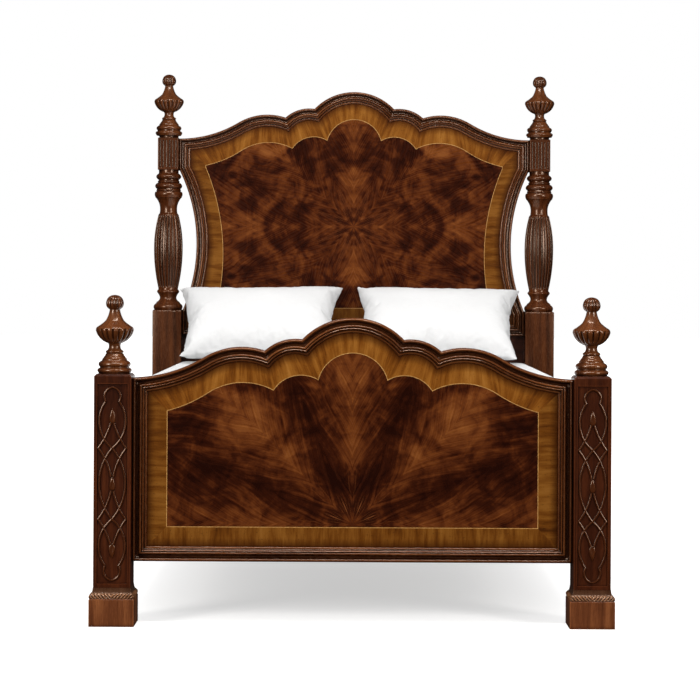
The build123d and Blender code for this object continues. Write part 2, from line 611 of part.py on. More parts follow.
def make_leg_insert():
    with BuildPart() as insert:
        with Locations((0, LEG_Y, LEG_BOTTOM)):
            Cylinder(INSERT_FLANGE_R, INSERT_FLANGE_T, align=MID_BOTTOM)
            Cylinder(INSERT_R, INSERT_L, align=MID_BOTTOM)
            Cylinder(STEM_R + GAP / 2, INSERT_L, align=MID_BOTTOM, mode=Mode.SUBTRACT)
    save(insert, "leg_insert")


make_centre_beam()
make_centre_leg()
make_leveller()
make_leg_bolt()
make_leg_insert()


# ---- bedding -------------------------------------------------------------------------------------
FOUNDATION_CORNER, MATTRESS_CORNER, MATTRESS_ROLL = 60, 70, 30
QUILT = 12                    # wall of the box foundation and of the mattress
PILLOW_WALL, PILLOW_ROLL = 6, 55
HEADBOARD_FRONT = POST_Y - MOULD_STEPS[0][2]


def make_box_spring():
    low, high = SLAT_TOP + REST_GAP, FOUNDATION_TOP
    with BuildPart() as foundation:
        with BuildSketch(Plane.XY.offset(low)):
            RectangleRounded(FOUNDATION_W, FOUNDATION_L, FOUNDATION_CORNER)
        extrude(amount=high - low)
        fillet(foundation.faces().filter_by(Axis.Z).edges(), 8)
        with BuildSketch(Plane.XY.offset(low + QUILT)):
            RectangleRounded(FOUNDATION_W - 2 * QUILT, FOUNDATION_L - 2 * QUILT, FOUNDATION_CORNER - QUILT)
        extrude(amount=high - low - 2 * QUILT, mode=Mode.SUBTRACT)
    save(foundation, "box_spring")


def make_mattress():
    low, high = FOUNDATION_TOP + REST_GAP, MATTRESS_TOP
    with BuildPart() as mattress:
        with BuildSketch(Plane.XY.offset(low)):
            RectangleRounded(MATTRESS_W, MATTRESS_L, MATTRESS_CORNER)
        extrude(amount=high - low)
        fillet(mattress.faces().filter_by(Axis.Z).edges(), MATTRESS_ROLL)
        with BuildSketch(Plane.XY.offset(low + QUILT)):
            RectangleRounded(MATTRESS_W - 4 * QUILT, MATTRESS_L - 4 * QUILT, MATTRESS_CORNER - 2 * QUILT)
        extrude(amount=high - low - 2 * QUILT, mode=Mode.SUBTRACT)
    save(mattress, "mattress")


def make_pillow(x, name):
    """A pillow leaning back against the headboard, with its lower edge on the mattress."""
    y = HEADBOARD_FRONT - 2 - PILLOW_T / 2 - (PILLOW_H - PILLOW_T) / 2 * cos(PILLOW_LEAN * pi / 180)
    z = MATTRESS_TOP + REST_GAP + PILLOW_T / 2 + (PILLOW_H - PILLOW_T) / 2 * sin(PILLOW_LEAN * pi / 180)
    across = Plane(origin=(x - PILLOW_W / 2, y, z), x_dir=(0, 1, 0), z_dir=(1, 0, 0))
    inside = Plane(origin=(x - PILLOW_W / 2 + PILLOW_ROLL, y, z), x_dir=(0, 1, 0), z_dir=(1, 0, 0))
    with BuildPart() as pillow:
        with BuildSketch(across):
            SlotOverall(PILLOW_H, PILLOW_T, rotation=PILLOW_LEAN)
        extrude(amount=PILLOW_W)
        fillet(pillow.faces().filter_by(Axis.X).edges(), PILLOW_ROLL)
        with BuildSketch(inside):
            SlotOverall(PILLOW_H - 2 * PILLOW_WALL, PILLOW_T - 2 * PILLOW_WALL, rotation=PILLOW_LEAN)
        extrude(amount=PILLOW_W - 2 * PILLOW_ROLL, mode=Mode.SUBTRACT)
    save(pillow, f"pillow_{name}")


make_box_spring()
make_mattress()
make_pillow(PILLOW_X[0], "left")
make_pillow(PILLOW_X[1], "right")
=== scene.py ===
"""Looks of a low four-poster bed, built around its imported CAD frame.

Metres, +Z up, origin on the floor at the middle of the bed, headboard at +Y. Both boards face -Y.
Outlines are written in millimetres, as the joiner's drawing has them, and scaled by MM when a mesh is made.
"""
from math import atan2, cos, hypot, pi, radians, sin, sqrt

import bmesh
import bpy
import numpy as np
from mathutils import Matrix, Vector


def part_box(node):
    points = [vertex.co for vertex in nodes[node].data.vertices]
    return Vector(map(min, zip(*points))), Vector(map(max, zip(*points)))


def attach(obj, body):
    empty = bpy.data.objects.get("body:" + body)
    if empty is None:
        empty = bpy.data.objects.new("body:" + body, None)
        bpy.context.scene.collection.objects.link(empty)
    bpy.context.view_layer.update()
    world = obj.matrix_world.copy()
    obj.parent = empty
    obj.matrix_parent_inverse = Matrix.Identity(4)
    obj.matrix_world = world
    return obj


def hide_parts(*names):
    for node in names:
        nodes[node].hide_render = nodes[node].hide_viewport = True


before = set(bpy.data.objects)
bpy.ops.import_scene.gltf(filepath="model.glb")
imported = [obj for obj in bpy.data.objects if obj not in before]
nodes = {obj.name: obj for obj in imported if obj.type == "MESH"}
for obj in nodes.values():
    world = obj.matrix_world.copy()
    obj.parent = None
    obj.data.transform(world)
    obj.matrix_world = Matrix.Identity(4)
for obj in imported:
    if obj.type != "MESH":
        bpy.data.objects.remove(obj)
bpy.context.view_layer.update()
MM = 0.001

# ---- sizes of the joinery, in millimetres --------------------------------------------------------
POST, POST_X, POST_Y = 125, 810, 1065
POST_IN_X = POST_X - POST / 2
PLINTH_TOP, GADROON_TOP = 94, 130
FOOT_POST_TOP, HEAD_LEG_TOP = 850, 1043
HEAD_BLOCK, HEAD_BLOCK_BOTTOM, HEAD_BLOCK_TOP, HEAD_POST_TOP = 89, 1653, 1793, 1804
BLOCK_IN_X = POST_X - HEAD_BLOCK / 2
FOOT_CREST, HEAD_CREST, FOOT_BOTTOM, HEAD_BOTTOM = 1043, 1998, 214, 935
FIELD_HALF_W, FOOT_FIELD_BOTTOM, HEAD_FIELD_BOTTOM = 632, 329, 1052
MOULD_W, MOULD_BACK, VENEER = 50, 29, 1
FRET_MIDDLE, FRET_SINK = 480.5, 4
EDGE_ARCS = ((0, -241, 241, 1), (196, -227.4, 155, 1), (378, -350.4, 250, 1), (763.2, 293.1, 500, -1))
FIELD_ARCS = ((0, -241, 123, 1), (175.5, -308, 114, 1), (372.6, -440, 220, 1), (742, 119, 450, -1))
HEAD_SIDE = ((BLOCK_IN_X, 1660), (687, 1355), (POST_IN_X, 1038))
HEAD_FIELD_SIDE = ((650, 1667), (575, 1355), (598, 1062))
SIDES = ((-1, "left"), (1, "right"))
ENDS = ((-1, "footboard"), (1, "headboard"))


# ---- node trees ----------------------------------------------------------------------------------
class Tree:
    """Short words for building the node tree of a new material, or of the world."""

    def __init__(self, name, world=False, **settings):
        self.owner = bpy.data.worlds.new(name) if world else bpy.data.materials.new(name)
        self.owner.use_nodes = True
        self.tree = self.owner.node_tree
        self.shader = self.tree.nodes["Background" if world else "Principled BSDF"]
        for socket, value in settings.items():
            self.shader.inputs[socket.replace("_", " ").title().replace("Ior", "IOR")].default_value = value

    def put(self, socket, value):
        if isinstance(value, bpy.types.NodeSocket):
            self.tree.links.new(value, socket)
        elif value is not None:
            socket.default_value = value

    def node(self, kind, *values, **settings):
        made = self.tree.nodes.new("ShaderNode" + kind)
        for key, value in settings.items():
            setattr(made, key, value)
        for socket, value in zip(made.inputs, values):
            self.put(socket, value)
        return made

    def place(self, source="Object"):
        return self.node("TexCoord").outputs[source]

    def math(self, operation, a, b=0.0, c=0.0):
        return self.node("Math", a, b, c, operation=operation).outputs[0]

    def split(self, vector):
        return self.node("SeparateXYZ", vector).outputs

    def vector(self, x=0.0, y=0.0, z=0.0):
        return self.node("CombineXYZ", x, y, z).outputs[0]

    def scaled(self, vector, x, y, z):
        return self.node("VectorMath", vector, (x, y, z), operation="MULTIPLY").outputs[0]

    def fed(self, kind, inputs, **settings):
        """A node whose inputs are given by name."""
        made = self.node(kind, **settings)
        for socket, value in inputs.items():
            self.put(made.inputs[socket], value)
        return made.outputs

    def noise(self, vector, scale, detail=4.0, roughness=0.5, distortion=0.0):
        return self.fed("TexNoise", {"Vector": vector, "Scale": scale, "Detail": detail,
                                     "Roughness": roughness, "Distortion": distortion})[0]

    def ramp(self, factor, *stops):
        made = self.node("ValToRGB", factor)
        elements = made.color_ramp.elements
        while len(elements) < len(stops):
            elements.new(0.5)
        for element, (position, colour) in zip(elements, stops):
            element.position = position
            grey = isinstance(colour, (int, float))
            element.color = (colour, colour, colour, 1) if grey else (*colour, 1)
        return made.outputs[0]

    def range(self, value, low, high, new_low=0.0, new_high=1.0):
        return self.node("MapRange", value, low, high, new_low, new_high).outputs[0]

    def blend(self, *parts):
        """The sum of parts, each times its share."""
        total = 0.0
        for part, share in parts:
            total = self.math("MULTIPLY_ADD", part, share, total)
        return total

    def mix(self, factor, a, b, mode="MIX"):
        made = self.node("Mix", data_type="RGBA", blend_type=mode)
        for index, value in ((0, factor), (6, a), (7, b)):
            if isinstance(value, tuple):
                value = (*value, 1)
            self.put(made.inputs[index], value)
        return made.outputs[2]

    def times(self, colour, by):
        return self.mix(1.0, colour, by, "MULTIPLY")

    def dulled(self, colour, noise, low, high, least):
        """The colour, darkened to a least share where the noise is low."""
        share = self.range(noise, low, high, least, 1.0)
        return self.times(colour, self.vector(share, share, share))

    def shelter(self, distance, inside=False):
        """0 deep in a crevice and 1 in the open; inside, 0 on a sharp outer edge and 1 on a flat face."""
        return self.fed("AmbientOcclusion", {"Distance": distance}, samples=6, inside=inside)["AO"]

    def bump(self, height, strength, distance):
        return self.fed("Bump", {"Height": height, "Strength": strength, "Distance": distance})[0]

    def finish(self, colour, roughness=None, normal=None):
        self.put(self.shader.inputs["Base Color"], colour)
        self.put(self.shader.inputs["Roughness"], roughness)
        self.put(self.shader.inputs["Normal"], normal)
        return self.owner


GRAIN_AXES = {"x": (1, 16, 16), "y": (16, 1, 16), "z": (16, 16, 1), "uv": (1, 16, 1)}
WARM_SHINE = (1.0, 0.66, 0.44, 1.0)


def plain_wood(name, axis, tones, glaze_and_shade=0.0, wear_and_highlight=0.0, gloss=0.3, coat=0.3, scale=1.0, carved=False):
    """Straight-grained wood, its fibres along an axis of the frame or along the mesh's own u.

    Painted shade, with some old glazing, darkens crevices and the places where parts meet within the
    glaze_and_shade size, and edges within the wear_and_highlight size are lightened, partly rubbed wood and
    partly a painted highlight. On carved wood the mesh's own hollow, 0 on a crown and 1 in a groove, darkens
    the tool marks the same way, with painted shade and some old glazing, and the lacquer is thick, soft and
    warm."""
    dark, mid, light = tones
    if carved:
        tree = Tree(name, ior=1.6, specular_tint=WARM_SHINE, coat_weight=coat, coat_roughness=0.17)
    else:
        tree = Tree(name, coat_weight=coat, coat_roughness=0.2, specular_ior_level=0.15)
    place = tree.place("UV" if axis == "uv" else "Object")
    along = tree.scaled(place, *GRAIN_AXES[axis])
    figure = tree.noise(along, 2.4 * scale, 5, 0.6, 0.8)
    fibre = tree.noise(along, 34 * scale, 4, 0.65)
    pores = tree.noise(along, 95 * scale, 2, 0.6)
    clouds = tree.noise(place, 4.5 * scale, 3)
    tone = tree.blend((clouds, 0.24), (figure, 0.56), (fibre, 0.20))
    colour = tree.ramp(tone, (0.36, dark), (0.5, mid), (0.66, light))
    # Painted highlight on sharp outer edges, partly also real rubbing through to paler wood.
    if wear_and_highlight:
        edge = tree.range(tree.shelter(wear_and_highlight, inside=True), 0.45, 0.85, 0.75, 0.0)
        colour = tree.mix(edge, colour, tuple(1.6 * c for c in light))
    # Painted shade in crevices and where parts meet, with some old glazing there too.
    if glaze_and_shade:
        air = tree.shelter(glaze_and_shade)
        left = tree.ramp(air, (0.1, (0.08, 0.06, 0.05)), (0.55, (0.42, 0.36, 0.33)), (0.95, 1.0))
        colour = tree.times(colour, left)
    # Painted shade in the carved cuts, with some old glazing; the crowns keep their colour.
    if carved:
        cut = tree.node("Attribute", attribute_name="hollow").outputs["Fac"]
        left = tree.ramp(cut, (0.0, 1.0), (0.35, (0.62, 0.57, 0.54)), (0.9, (0.13, 0.09, 0.08)))
        colour = tree.times(colour, left)
    colour = tree.dulled(colour, pores, 0.32, 0.5, 0.7)
    rough = tree.range(fibre, 0.3, 0.7, gloss - 0.05, gloss + 0.08)
    return tree.finish(colour, rough, tree.bump(pores, 0.05, 0.0002))


def flame_veneer(name, centre_z, seed, lift, cloudy):
    """Crotch mahogany, radially matched: eight leaves about a centre, with feathered barbs off each seam.

    A cloudy veneer has more blotches and less streaking; lift lightens it."""
    tree = Tree(name, coat_weight=0.3, coat_roughness=0.06, specular_ior_level=0.1)
    place = tree.place()
    x, _, z = tree.split(place)
    height = tree.math("SUBTRACT", z, centre_z)
    drift = tree.noise(place, 3.4, 3, 0.55)
    wander = tree.math("MULTIPLY_ADD", drift, 0.11, -0.055)
    away = tree.node("VectorMath", tree.vector(x, height), operation="LENGTH").outputs["Value"]
    angle = tree.math("ADD", tree.math("ARCTAN2", x, height), tree.math("MULTIPLY", wander, 0.6))
    leaf = tree.math("PINGPONG", angle, pi / 8)
    along = tree.math("MULTIPLY", away, tree.math("COSINE", leaf))
    aside = tree.math("MULTIPLY", away, tree.math("SINE", leaf))
    barb = tree.math("MULTIPLY_ADD", tree.math("POWER", aside, 0.85), -1.25, tree.math("ADD", along, wander))

    def streaked(across, down, detail=4, rough=0.55, twist=0.0):
        stretch = tree.scaled(tree.vector(barb, aside, seed), across, down, 1)
        return tree.noise(stretch, 1.0, detail, rough, twist)

    sides = tree.vector(tree.math("ABSOLUTE", x), tree.math("ABSOLUTE", height), seed)
    bands, lines = streaked(15, 4.6, 6, 0.62, 0.5), streaked(80, 9)
    fine = streaked(310, 26, 2)
    leaf_clouds = tree.noise(tree.vector(along, aside, seed), 12.0, 6, 0.62, 1.1)
    side_clouds = tree.noise(sides, 6.2, 6, 0.60, 1.0)
    loose = tree.noise(place, 6.0, 4, 0.6, 1.5)
    seam = tree.range(leaf, 0.0, pi / 8, 0.06 + lift, lift - 0.075)
    tone = tree.math("ADD", seam, tree.range(away, 0.0, 0.3, -0.05, 0.0))
    shares = ((bands, 0.52 - cloudy), (lines, 0.14 - cloudy / 4), (fine, 0.08),
              (leaf_clouds, 0.42 + cloudy / 2), (side_clouds, 0.56 + cloudy), (loose, 0.14))
    for part, share in shares:
        tone = tree.math("MULTIPLY_ADD", tree.math("SUBTRACT", part, 0.5), share, tone)
    tone = tree.math("ADD", tone, 0.52)
    colour = tree.ramp(tone, (0.37, (0.0115, 0.0019, 0.0006)), (0.48, (0.0270, 0.0048, 0.0012)),
                       (0.56, (0.0620, 0.0135, 0.0028)), (0.66, (0.118, 0.0310, 0.0062)),
                       (0.80, (0.200, 0.0640, 0.0140)))
    rays = tree.noise(tree.scaled(tree.vector(leaf, away, seed), 46, 10, 1), 1.0, 3)
    burst = tree.math("MULTIPLY", tree.range(rays, 0.57, 0.68), tree.range(away, 0.05, 0.2, 0.9, 0.0))
    burst = tree.math("MULTIPLY", burst, tree.range(away, 0.01, 0.05))
    colour = tree.mix(burst, colour, (0.17, 0.05, 0.014))
    colour = tree.dulled(colour, tree.noise(tree.scaled(place, 1, 1, 6), 120, 2), 0.30, 0.40, 0.78)
    return tree.finish(colour, tree.range(lines, 0.3, 0.7, 0.24, 0.32), tree.bump(lines, 0.04, 0.0003))


def crossband_veneer(name, light):
    """Banding whose grain runs across the band: u is along the band and v across it, both in metres."""
    tree = Tree(name, coat_weight=0.3, coat_roughness=0.08, specular_ior_level=0.1)
    u, v, _ = tree.split(tree.place("UV"))
    u = tree.math("MULTIPLY_ADD", tree.noise(tree.vector(u, v), 9.0, 2), 0.012, u)
    cut = tree.vector(u, v)
    ribbon = tree.noise(tree.scaled(cut, 38, 5, 1), 1.0, 4, 0.6)
    streak = tree.noise(tree.scaled(cut, 190, 11, 1), 1.0, 3)
    broad = tree.noise(tree.scaled(cut, 7, 5, 1), 1.0, 2)
    tone = tree.blend((ribbon, 0.5), (streak, 0.16), (broad, 0.34))
    tones = ((0.36, (0.052, 0.0135, 0.0012)), (0.46, (0.115, 0.0350, 0.0030)),
             (0.56, (0.180, 0.0660, 0.0085)), (0.70, (0.250, 0.105, 0.0190)))
    stops = [(at, tuple(light * c for c in shade)) for at, shade in tones]
    colour = tree.dulled(tree.ramp(tone, *stops), tree.noise(tree.place(), 210, 2), 0.27, 0.36, 0.6)
    # Painted shade: the band darkens towards the moulding that stands proud of it, and in the hollows by it.
    moulding_shade = tree.ramp(tree.range(v, 0.0, 0.034), (0.0, (0.34, 0.25, 0.20)), (1.0, 1.0))
    shade = tree.ramp(tree.shelter(0.03), (0.35, (0.3, 0.22, 0.16)), (0.9, 1.0))
    colour = tree.times(tree.times(colour, moulding_shade), shade)
    return tree.finish(colour, tree.range(streak, 0.3, 0.7, 0.27, 0.36), tree.bump(streak, 0.05, 0.0003))


def inlay():
    tree = Tree("stringing", coat_weight=0.4, coat_roughness=0.1)
    grain = tree.noise(tree.place(), 160, 3)
    return tree.finish(tree.ramp(grain, (0.35, (0.30, 0.145, 0.036)), (0.65, (0.46, 0.25, 0.075))), 0.3)


def cloth(name, tint, thread, sheen=0.25):
    """Woven cotton: a fine over-and-under weave and soft uneven whiteness."""
    tree = Tree(name, sheen_weight=sheen, sheen_roughness=0.5, specular_ior_level=0.15)
    u, v, _ = tree.split(tree.place("UV"))
    turns = 2 * pi / thread
    warp = tree.math("SINE", tree.math("MULTIPLY", u, turns))
    weft = tree.math("SINE", tree.math("MULTIPLY", v, turns))
    weave = tree.math("MULTIPLY", warp, weft)
    slub = tree.noise(tree.vector(tree.math("MULTIPLY", u, 30.0), tree.math("MULTIPLY", v, 400.0)), 1.0, 3)
    soft = tree.noise(tree.place(), 7, 3)
    tone = tree.blend((slub, 0.5), (soft, 0.5))
    colour = tree.ramp(tone, (0.3, tuple(c * 0.93 for c in tint)), (0.65, tint))
    rough = tree.range(slub, 0.3, 0.7, 0.82, 0.94)
    height = tree.math("MULTIPLY_ADD", weave, 0.5, slub)
    return tree.finish(colour, rough, tree.bump(height, 0.12, 0.0003))


def steel():
    tree = Tree("steel", metallic=1.0)
    brushed = tree.noise(tree.scaled(tree.place(), 40, 40, 900), 1.0, 3)
    colour = tree.ramp(brushed, (0.3, 0.42), (0.7, 0.62))
    return tree.finish(colour, tree.range(brushed, 0.3, 0.7, 0.28, 0.45))


def glide_plastic():
    tree = Tree("glide_plastic", specular_ior_level=0.4)
    grain = tree.noise(tree.place(), 900, 3)
    return tree.finish(tree.ramp(grain, (0.3, 0.016), (0.7, 0.028)), 0.55, tree.bump(grain, 0.2, 0.0002))


MAHOGANY = ((0.017, 0.0032, 0.0008), (0.039, 0.0080, 0.0018), (0.082, 0.0190, 0.0045))
TURNED = ((0.024, 0.0050, 0.0010), (0.060, 0.0140, 0.0030), (0.125, 0.0350, 0.0085))
# Lighter tones for the finials: a painted highlight in place of their broad shine.
FINIAL_LIT = ((0.034, 0.0080, 0.0017), (0.082, 0.0215, 0.0048), (0.160, 0.0480, 0.0120))
MOULDED = ((0.050, 0.0120, 0.0026), (0.112, 0.0310, 0.0072), (0.210, 0.0700, 0.0180))
# Lighter tones for the gadroons: a painted highlight on the crowns of the rope.
CROWNS_LIT = ((0.150, 0.0600, 0.0240), (0.260, 0.1150, 0.0520), (0.360, 0.1800, 0.0900))
# The plinths' paler wood, lightened further as painted light from the floor below.
PLINTH_PALE_AND_LIT = ((0.046, 0.0112, 0.0030), (0.122, 0.0350, 0.0105), (0.250, 0.0850, 0.0270))
PALE = ((0.30, 0.18, 0.085), (0.47, 0.31, 0.165), (0.60, 0.43, 0.25))
turned_wood = plain_wood("mahogany_turned", "uv", TURNED, 0.018, gloss=0.25, coat=0.25, carved=True)
finial_wood = plain_wood("mahogany_finial", "uv", FINIAL_LIT, 0.018, gloss=0.27, coat=0.6, carved=True)
moulded_wood = plain_wood("mahogany_moulded", "uv", MOULDED, 0.020, gloss=0.25, coat=0.5, carved=True)
gadroon_wood = plain_wood("mahogany_gadroon", "uv", CROWNS_LIT, 0.012, gloss=0.28, coat=0.3, carved=True)
post_wood = plain_wood("mahogany_post", "z", MAHOGANY, glaze_and_shade=0.016, wear_and_highlight=0.005, gloss=0.30)
plinth_wood = plain_wood("mahogany_plinth", "z", PLINTH_PALE_AND_LIT, glaze_and_shade=0.014, wear_and_highlight=0.005, gloss=0.32, scale=0.7)
across_wood = plain_wood("mahogany_board", "x", MAHOGANY, gloss=0.34)
rail_wood = plain_wood("mahogany_rail", "y", MAHOGANY, wear_and_highlight=0.005, gloss=0.31)
slat_wood = plain_wood("hardwood_slat", "x", PALE, gloss=0.6, coat=0.0)
beam_wood = plain_wood("hardwood_beam", "y", PALE, gloss=0.6, coat=0.0)
leg_wood = plain_wood("hardwood_leg", "z", PALE, gloss=0.6, coat=0.0)
crest_band = crossband_veneer("crossband_veneer_crest", 1.25)
edge_band = crossband_veneer("crossband_veneer_edge", 0.94)
inlay_wood = inlay()
foot_flame = flame_veneer("flame_veneer_foot", 0.34, 3.7, 0.0, 0.0)
head_flame = flame_veneer("flame_veneer_head", 1.41, 11.3, 0.02, 0.16)
ticking = cloth("ticking", (0.60, 0.605, 0.61), 0.0016)
cotton = cloth("pillow_cotton", (0.63, 0.635, 0.64), 0.0011, sheen=0.1)
base_cloth = cloth("foundation_cloth", (0.74, 0.72, 0.67), 0.0022)
metal = steel()
plastic = glide_plastic()


# ---- meshes --------------------------------------------------------------------------------------
def grid(points, round_rows=False, u=None, hollow=None):
    """Vertices, faces, corner UVs and hollows of a grid of points whose columns go round.

    It is closed by flat ends, or by joining the last row to the first. UVs are in metres: u runs from row to
    row and v across."""
    points = np.asarray(points, float)
    rows, cols = points.shape[:2]
    step_u = np.linalg.norm(np.diff(points, axis=0), axis=2).mean(axis=1)
    closed = np.concatenate([points, points[:, :1]], axis=1)
    step_v = np.linalg.norm(np.diff(closed, axis=1), axis=2).mean(axis=0)
    line_u = np.concatenate([[0], np.cumsum(step_u)])
    line_v = np.concatenate([[0], np.cumsum(step_v)])
    along = np.tile(line_u[:, None], (1, cols)) if u is None else np.asarray(u, float)
    faces, uvs = [], []
    last_u = line_u[-1] + (step_u.mean() if len(step_u) else 0)
    for i in range(rows if round_rows else rows - 1):
        k = (i + 1) % rows
        for j in range(cols):
            m = (j + 1) % cols
            faces.append((i * cols + j, i * cols + m, k * cols + m, k * cols + j))
            far_u = (along[k, j], along[k, m]) if k else (last_u, last_u)
            low_v, high_v = line_v[j], line_v[j + 1]
            uvs += [(along[i, j], low_v), (along[i, m], high_v), (far_u[1], high_v), (far_u[0], low_v)]
    if not round_rows:
        for i, order in ((0, range(cols - 1, -1, -1)), (rows - 1, range(cols))):
            faces.append(tuple(i * cols + j for j in order))
            centre = points[i].mean(axis=0)
            uvs += [tuple((points[i, j] - centre)[[0, 2]] + 0.37) for j in order]
    hollows = np.zeros(rows * cols) if hollow is None else np.asarray(hollow, float).ravel()
    return points.reshape(-1, 3), faces, uvs, hollows


def place_object(name, data):
    made = bpy.data.objects.new(name, data)
    bpy.context.scene.collection.objects.link(made)
    return made


def piece(name, grids, materials, stands_for, body="bed_frame", sharp=38):
    """One object from several grids, riding on a body and standing for CAD nodes.

    The grids share one material, or have one each."""
    shared = not isinstance(materials, list)
    verts, faces, uvs, hollows, chosen = [], [], [], [], []
    for index, (grid_verts, grid_faces, grid_uvs, grid_hollows) in enumerate(grids):
        first = len(verts)
        hollows += list(grid_hollows)
        chosen += [0 if shared else index] * len(grid_faces)
        verts += [tuple(p) for p in grid_verts]
        faces += [tuple(first + i for i in face) for face in grid_faces]
        uvs += grid_uvs
    mesh = bpy.data.meshes.new(name)
    mesh.from_pydata(verts, [], faces)
    layer = mesh.uv_layers.new(name="UVMap")
    layer.data.foreach_set("uv", np.asarray(uvs, float).ravel())
    # hollow: how dark each point is painted, as painted shade with some old glazing.
    mesh.attributes.new("hollow", "FLOAT", "POINT").data.foreach_set("value", hollows)
    mesh.shade_smooth()
    mesh.set_sharp_from_angle(angle=radians(sharp))
    for material in [materials] if shared else materials:
        mesh.materials.append(material)
    mesh.polygons.foreach_set("material_index", chosen)
    made = place_object(name, mesh)
    outwards(made)
    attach(made, body)
    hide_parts(*stands_for)
    return made


def outwards(made):
    """Turns every face of a closed mesh to face out."""
    bm = bmesh.new()
    bm.from_mesh(made.data)
    bmesh.ops.recalc_face_normals(bm, faces=bm.faces)
    bm.to_mesh(made.data)
    bm.free()


def dress(name, material, bevel=0.0):
    """Gives a CAD node its material, and soft edges where it has a bevel, in metres."""
    node = nodes[name]
    node.data.materials.clear()
    node.data.materials.append(material)
    if bevel:
        weld = node.modifiers.new("weld", "WELD")
        weld.merge_threshold = 0.00002
        soften = node.modifiers.new("bevel", "BEVEL")
        soften.width = bevel
        soften.segments = 3
        soften.limit_method = "ANGLE"
        soften.angle_limit = radians(40)
        soften.harden_normals = True


# ---- turned work ---------------------------------------------------------------------------------
def turned_line(stops):
    """Radius and height along a turned outline given as radius, height and outward bulge of each stretch."""
    r0, z0, _ = stops[0]
    line = [(r0, z0)]
    for r1, z1, bulge in stops[1:]:
        length = hypot(r1 - r0, z1 - z0)
        steps = max(9 if bulge else 2, round(length / 4))
        across = ((z1 - z0) / length, -(r1 - r0) / length)
        for k in range(1, steps + 1):
            t = k / steps
            lift = 4 * t * (1 - t) * bulge
            line.append((r0 + (r1 - r0) * t + lift * across[0], z0 + (z1 - z0) * t + lift * across[1]))
        r0, z0 = r1, z1
    return line


def lathe(line, x, y, base=0, carve=None, sides=96):
    """A turned solid; carve(height, angle) gives how deep it is cut there, and how dark the cut is painted,
    as painted shade with some old glazing.
    """
    rows, hollow = [], []
    for r, z in line:
        cuts = [carve(z, 2 * pi * k / sides) if carve else (0, 0) for k in range(sides)]
        turns = [(2 * pi * k / sides, r - depth) for k, (depth, _) in enumerate(cuts)]
        rows.append([(x + reach * cos(a), y + reach * sin(a), base + z) for a, reach in turns])
        hollow.append([glaze_and_shade for _, glaze_and_shade in cuts])
    return grid(np.asarray(rows) * MM, hollow=hollow)


def between(value, low, high):
    """0 below low, 1 above high, and smooth between."""
    t = min(1, max(0, (value - low) / (high - low)))
    return t * t * (3 - 2 * t)


def reeds(angle, count):
    """1 on the crown of each convex reed and 0 in the grooves."""
    return abs(cos(count * angle / 2)) ** 0.6


# Radius, height above the foot and outward bulge of each stretch.
FINIAL = (
    (53, 0, 0), (54, 3, 0), (56, 5, 0), (51, 19, 4.5), (49.5, 20.5, 0), (49.5, 23, 0), (51.5, 25, 0),
    (49, 41, 4), (46, 42.5, 0), (42, 48, -1), (42, 50, 0), (36, 58, -1), (33, 60, 0), (30, 67, 0),
    (27.5, 69, 0), (26.5, 79, 3.5), (21, 86, -1), (22.5, 103, -2), (64.2, 146, 8), (58.4, 159, 2),
    (31, 180, -1), (17.4, 217, -2), (18, 218, 0), (30.2, 240, 4), (2, 267, 8),
)
BULB_LOW, BULB_TIP, BALL_LOW, BALL_TOP = 101, 149, 217, 267
BULB_LOBES, BALL_REEDS = 18, 14
LOBE_DEPTH, REED_DEPTH = 7.0, 2.4


def carve_finial(z, a):
    """Gadroons under the bulb's widest point, and reeds on the ball."""
    if BULB_LOW < z < BULB_TIP + 5:
        share = between(z, BULB_LOW, BULB_LOW + 26) * (1 - between(z, BULB_TIP, BULB_TIP + 5))
        crease = share * (1 - reeds(a, BULB_LOBES))
        return LOBE_DEPTH * crease, crease ** 1.5
    if BALL_LOW < z < BALL_TOP:
        swell = sin(pi * (z - BALL_LOW) / (BALL_TOP - BALL_LOW)) ** 0.5
        crease = swell * (1 - reeds(a, BALL_REEDS))
        return REED_DEPTH * crease, crease
    return 0, 0


# Radius, height above the floor and outward bulge of each stretch, from the leg to the reeded block.
HEAD_TURNING = (
    (59, HEAD_LEG_TOP - 1, 0), (61, 1047, 0), (57, 1068, 4), (53, 1071, 0), (50, 1077, 0),
    (42, 1112, -10), (44, 1115, 0), (43, 1131, 5), (42.6, 1137, 0), (62.5, 1310, 5), (43.9, 1458, 5),
    (41, 1462, 0), (38, 1469, -1), (54, 1531, -7), (57, 1533, 0), (58, 1537, 0), (58, 1558, 2.8),
    (52, 1560, 0), (52, 1568, 1.5), (51, 1571, 0), (51, 1596, 8), (46, 1598, 0), (46, 1606, 1.5),
    (44, 1608, 0), (44, 1611, 0), (44, 1638, 10.5), (43, 1640, 0), (43, HEAD_BLOCK_BOTTOM + 1, 0),
)
VASE_LOW, VASE_HIGH, FLUTES, FLUTE_DEPTH, FLUTE_SHARE = 1139, 1458, 24, 3.4, 0.66


def carve_vase(z, a):
    """Flutes of the vase, with round ends."""
    if not VASE_LOW < z < VASE_HIGH:
        return 0, 0
    across = (a * FLUTES / (2 * pi)) % 1 * 2 - 1
    ends = between(z, VASE_LOW, VASE_LOW + 8) * (1 - between(z, VASE_HIGH - 9, VASE_HIGH))
    hollow = ends * sqrt(max(0, 1 - (across / FLUTE_SHARE) ** 2))
    return FLUTE_DEPTH * hollow, 0.7 * hollow


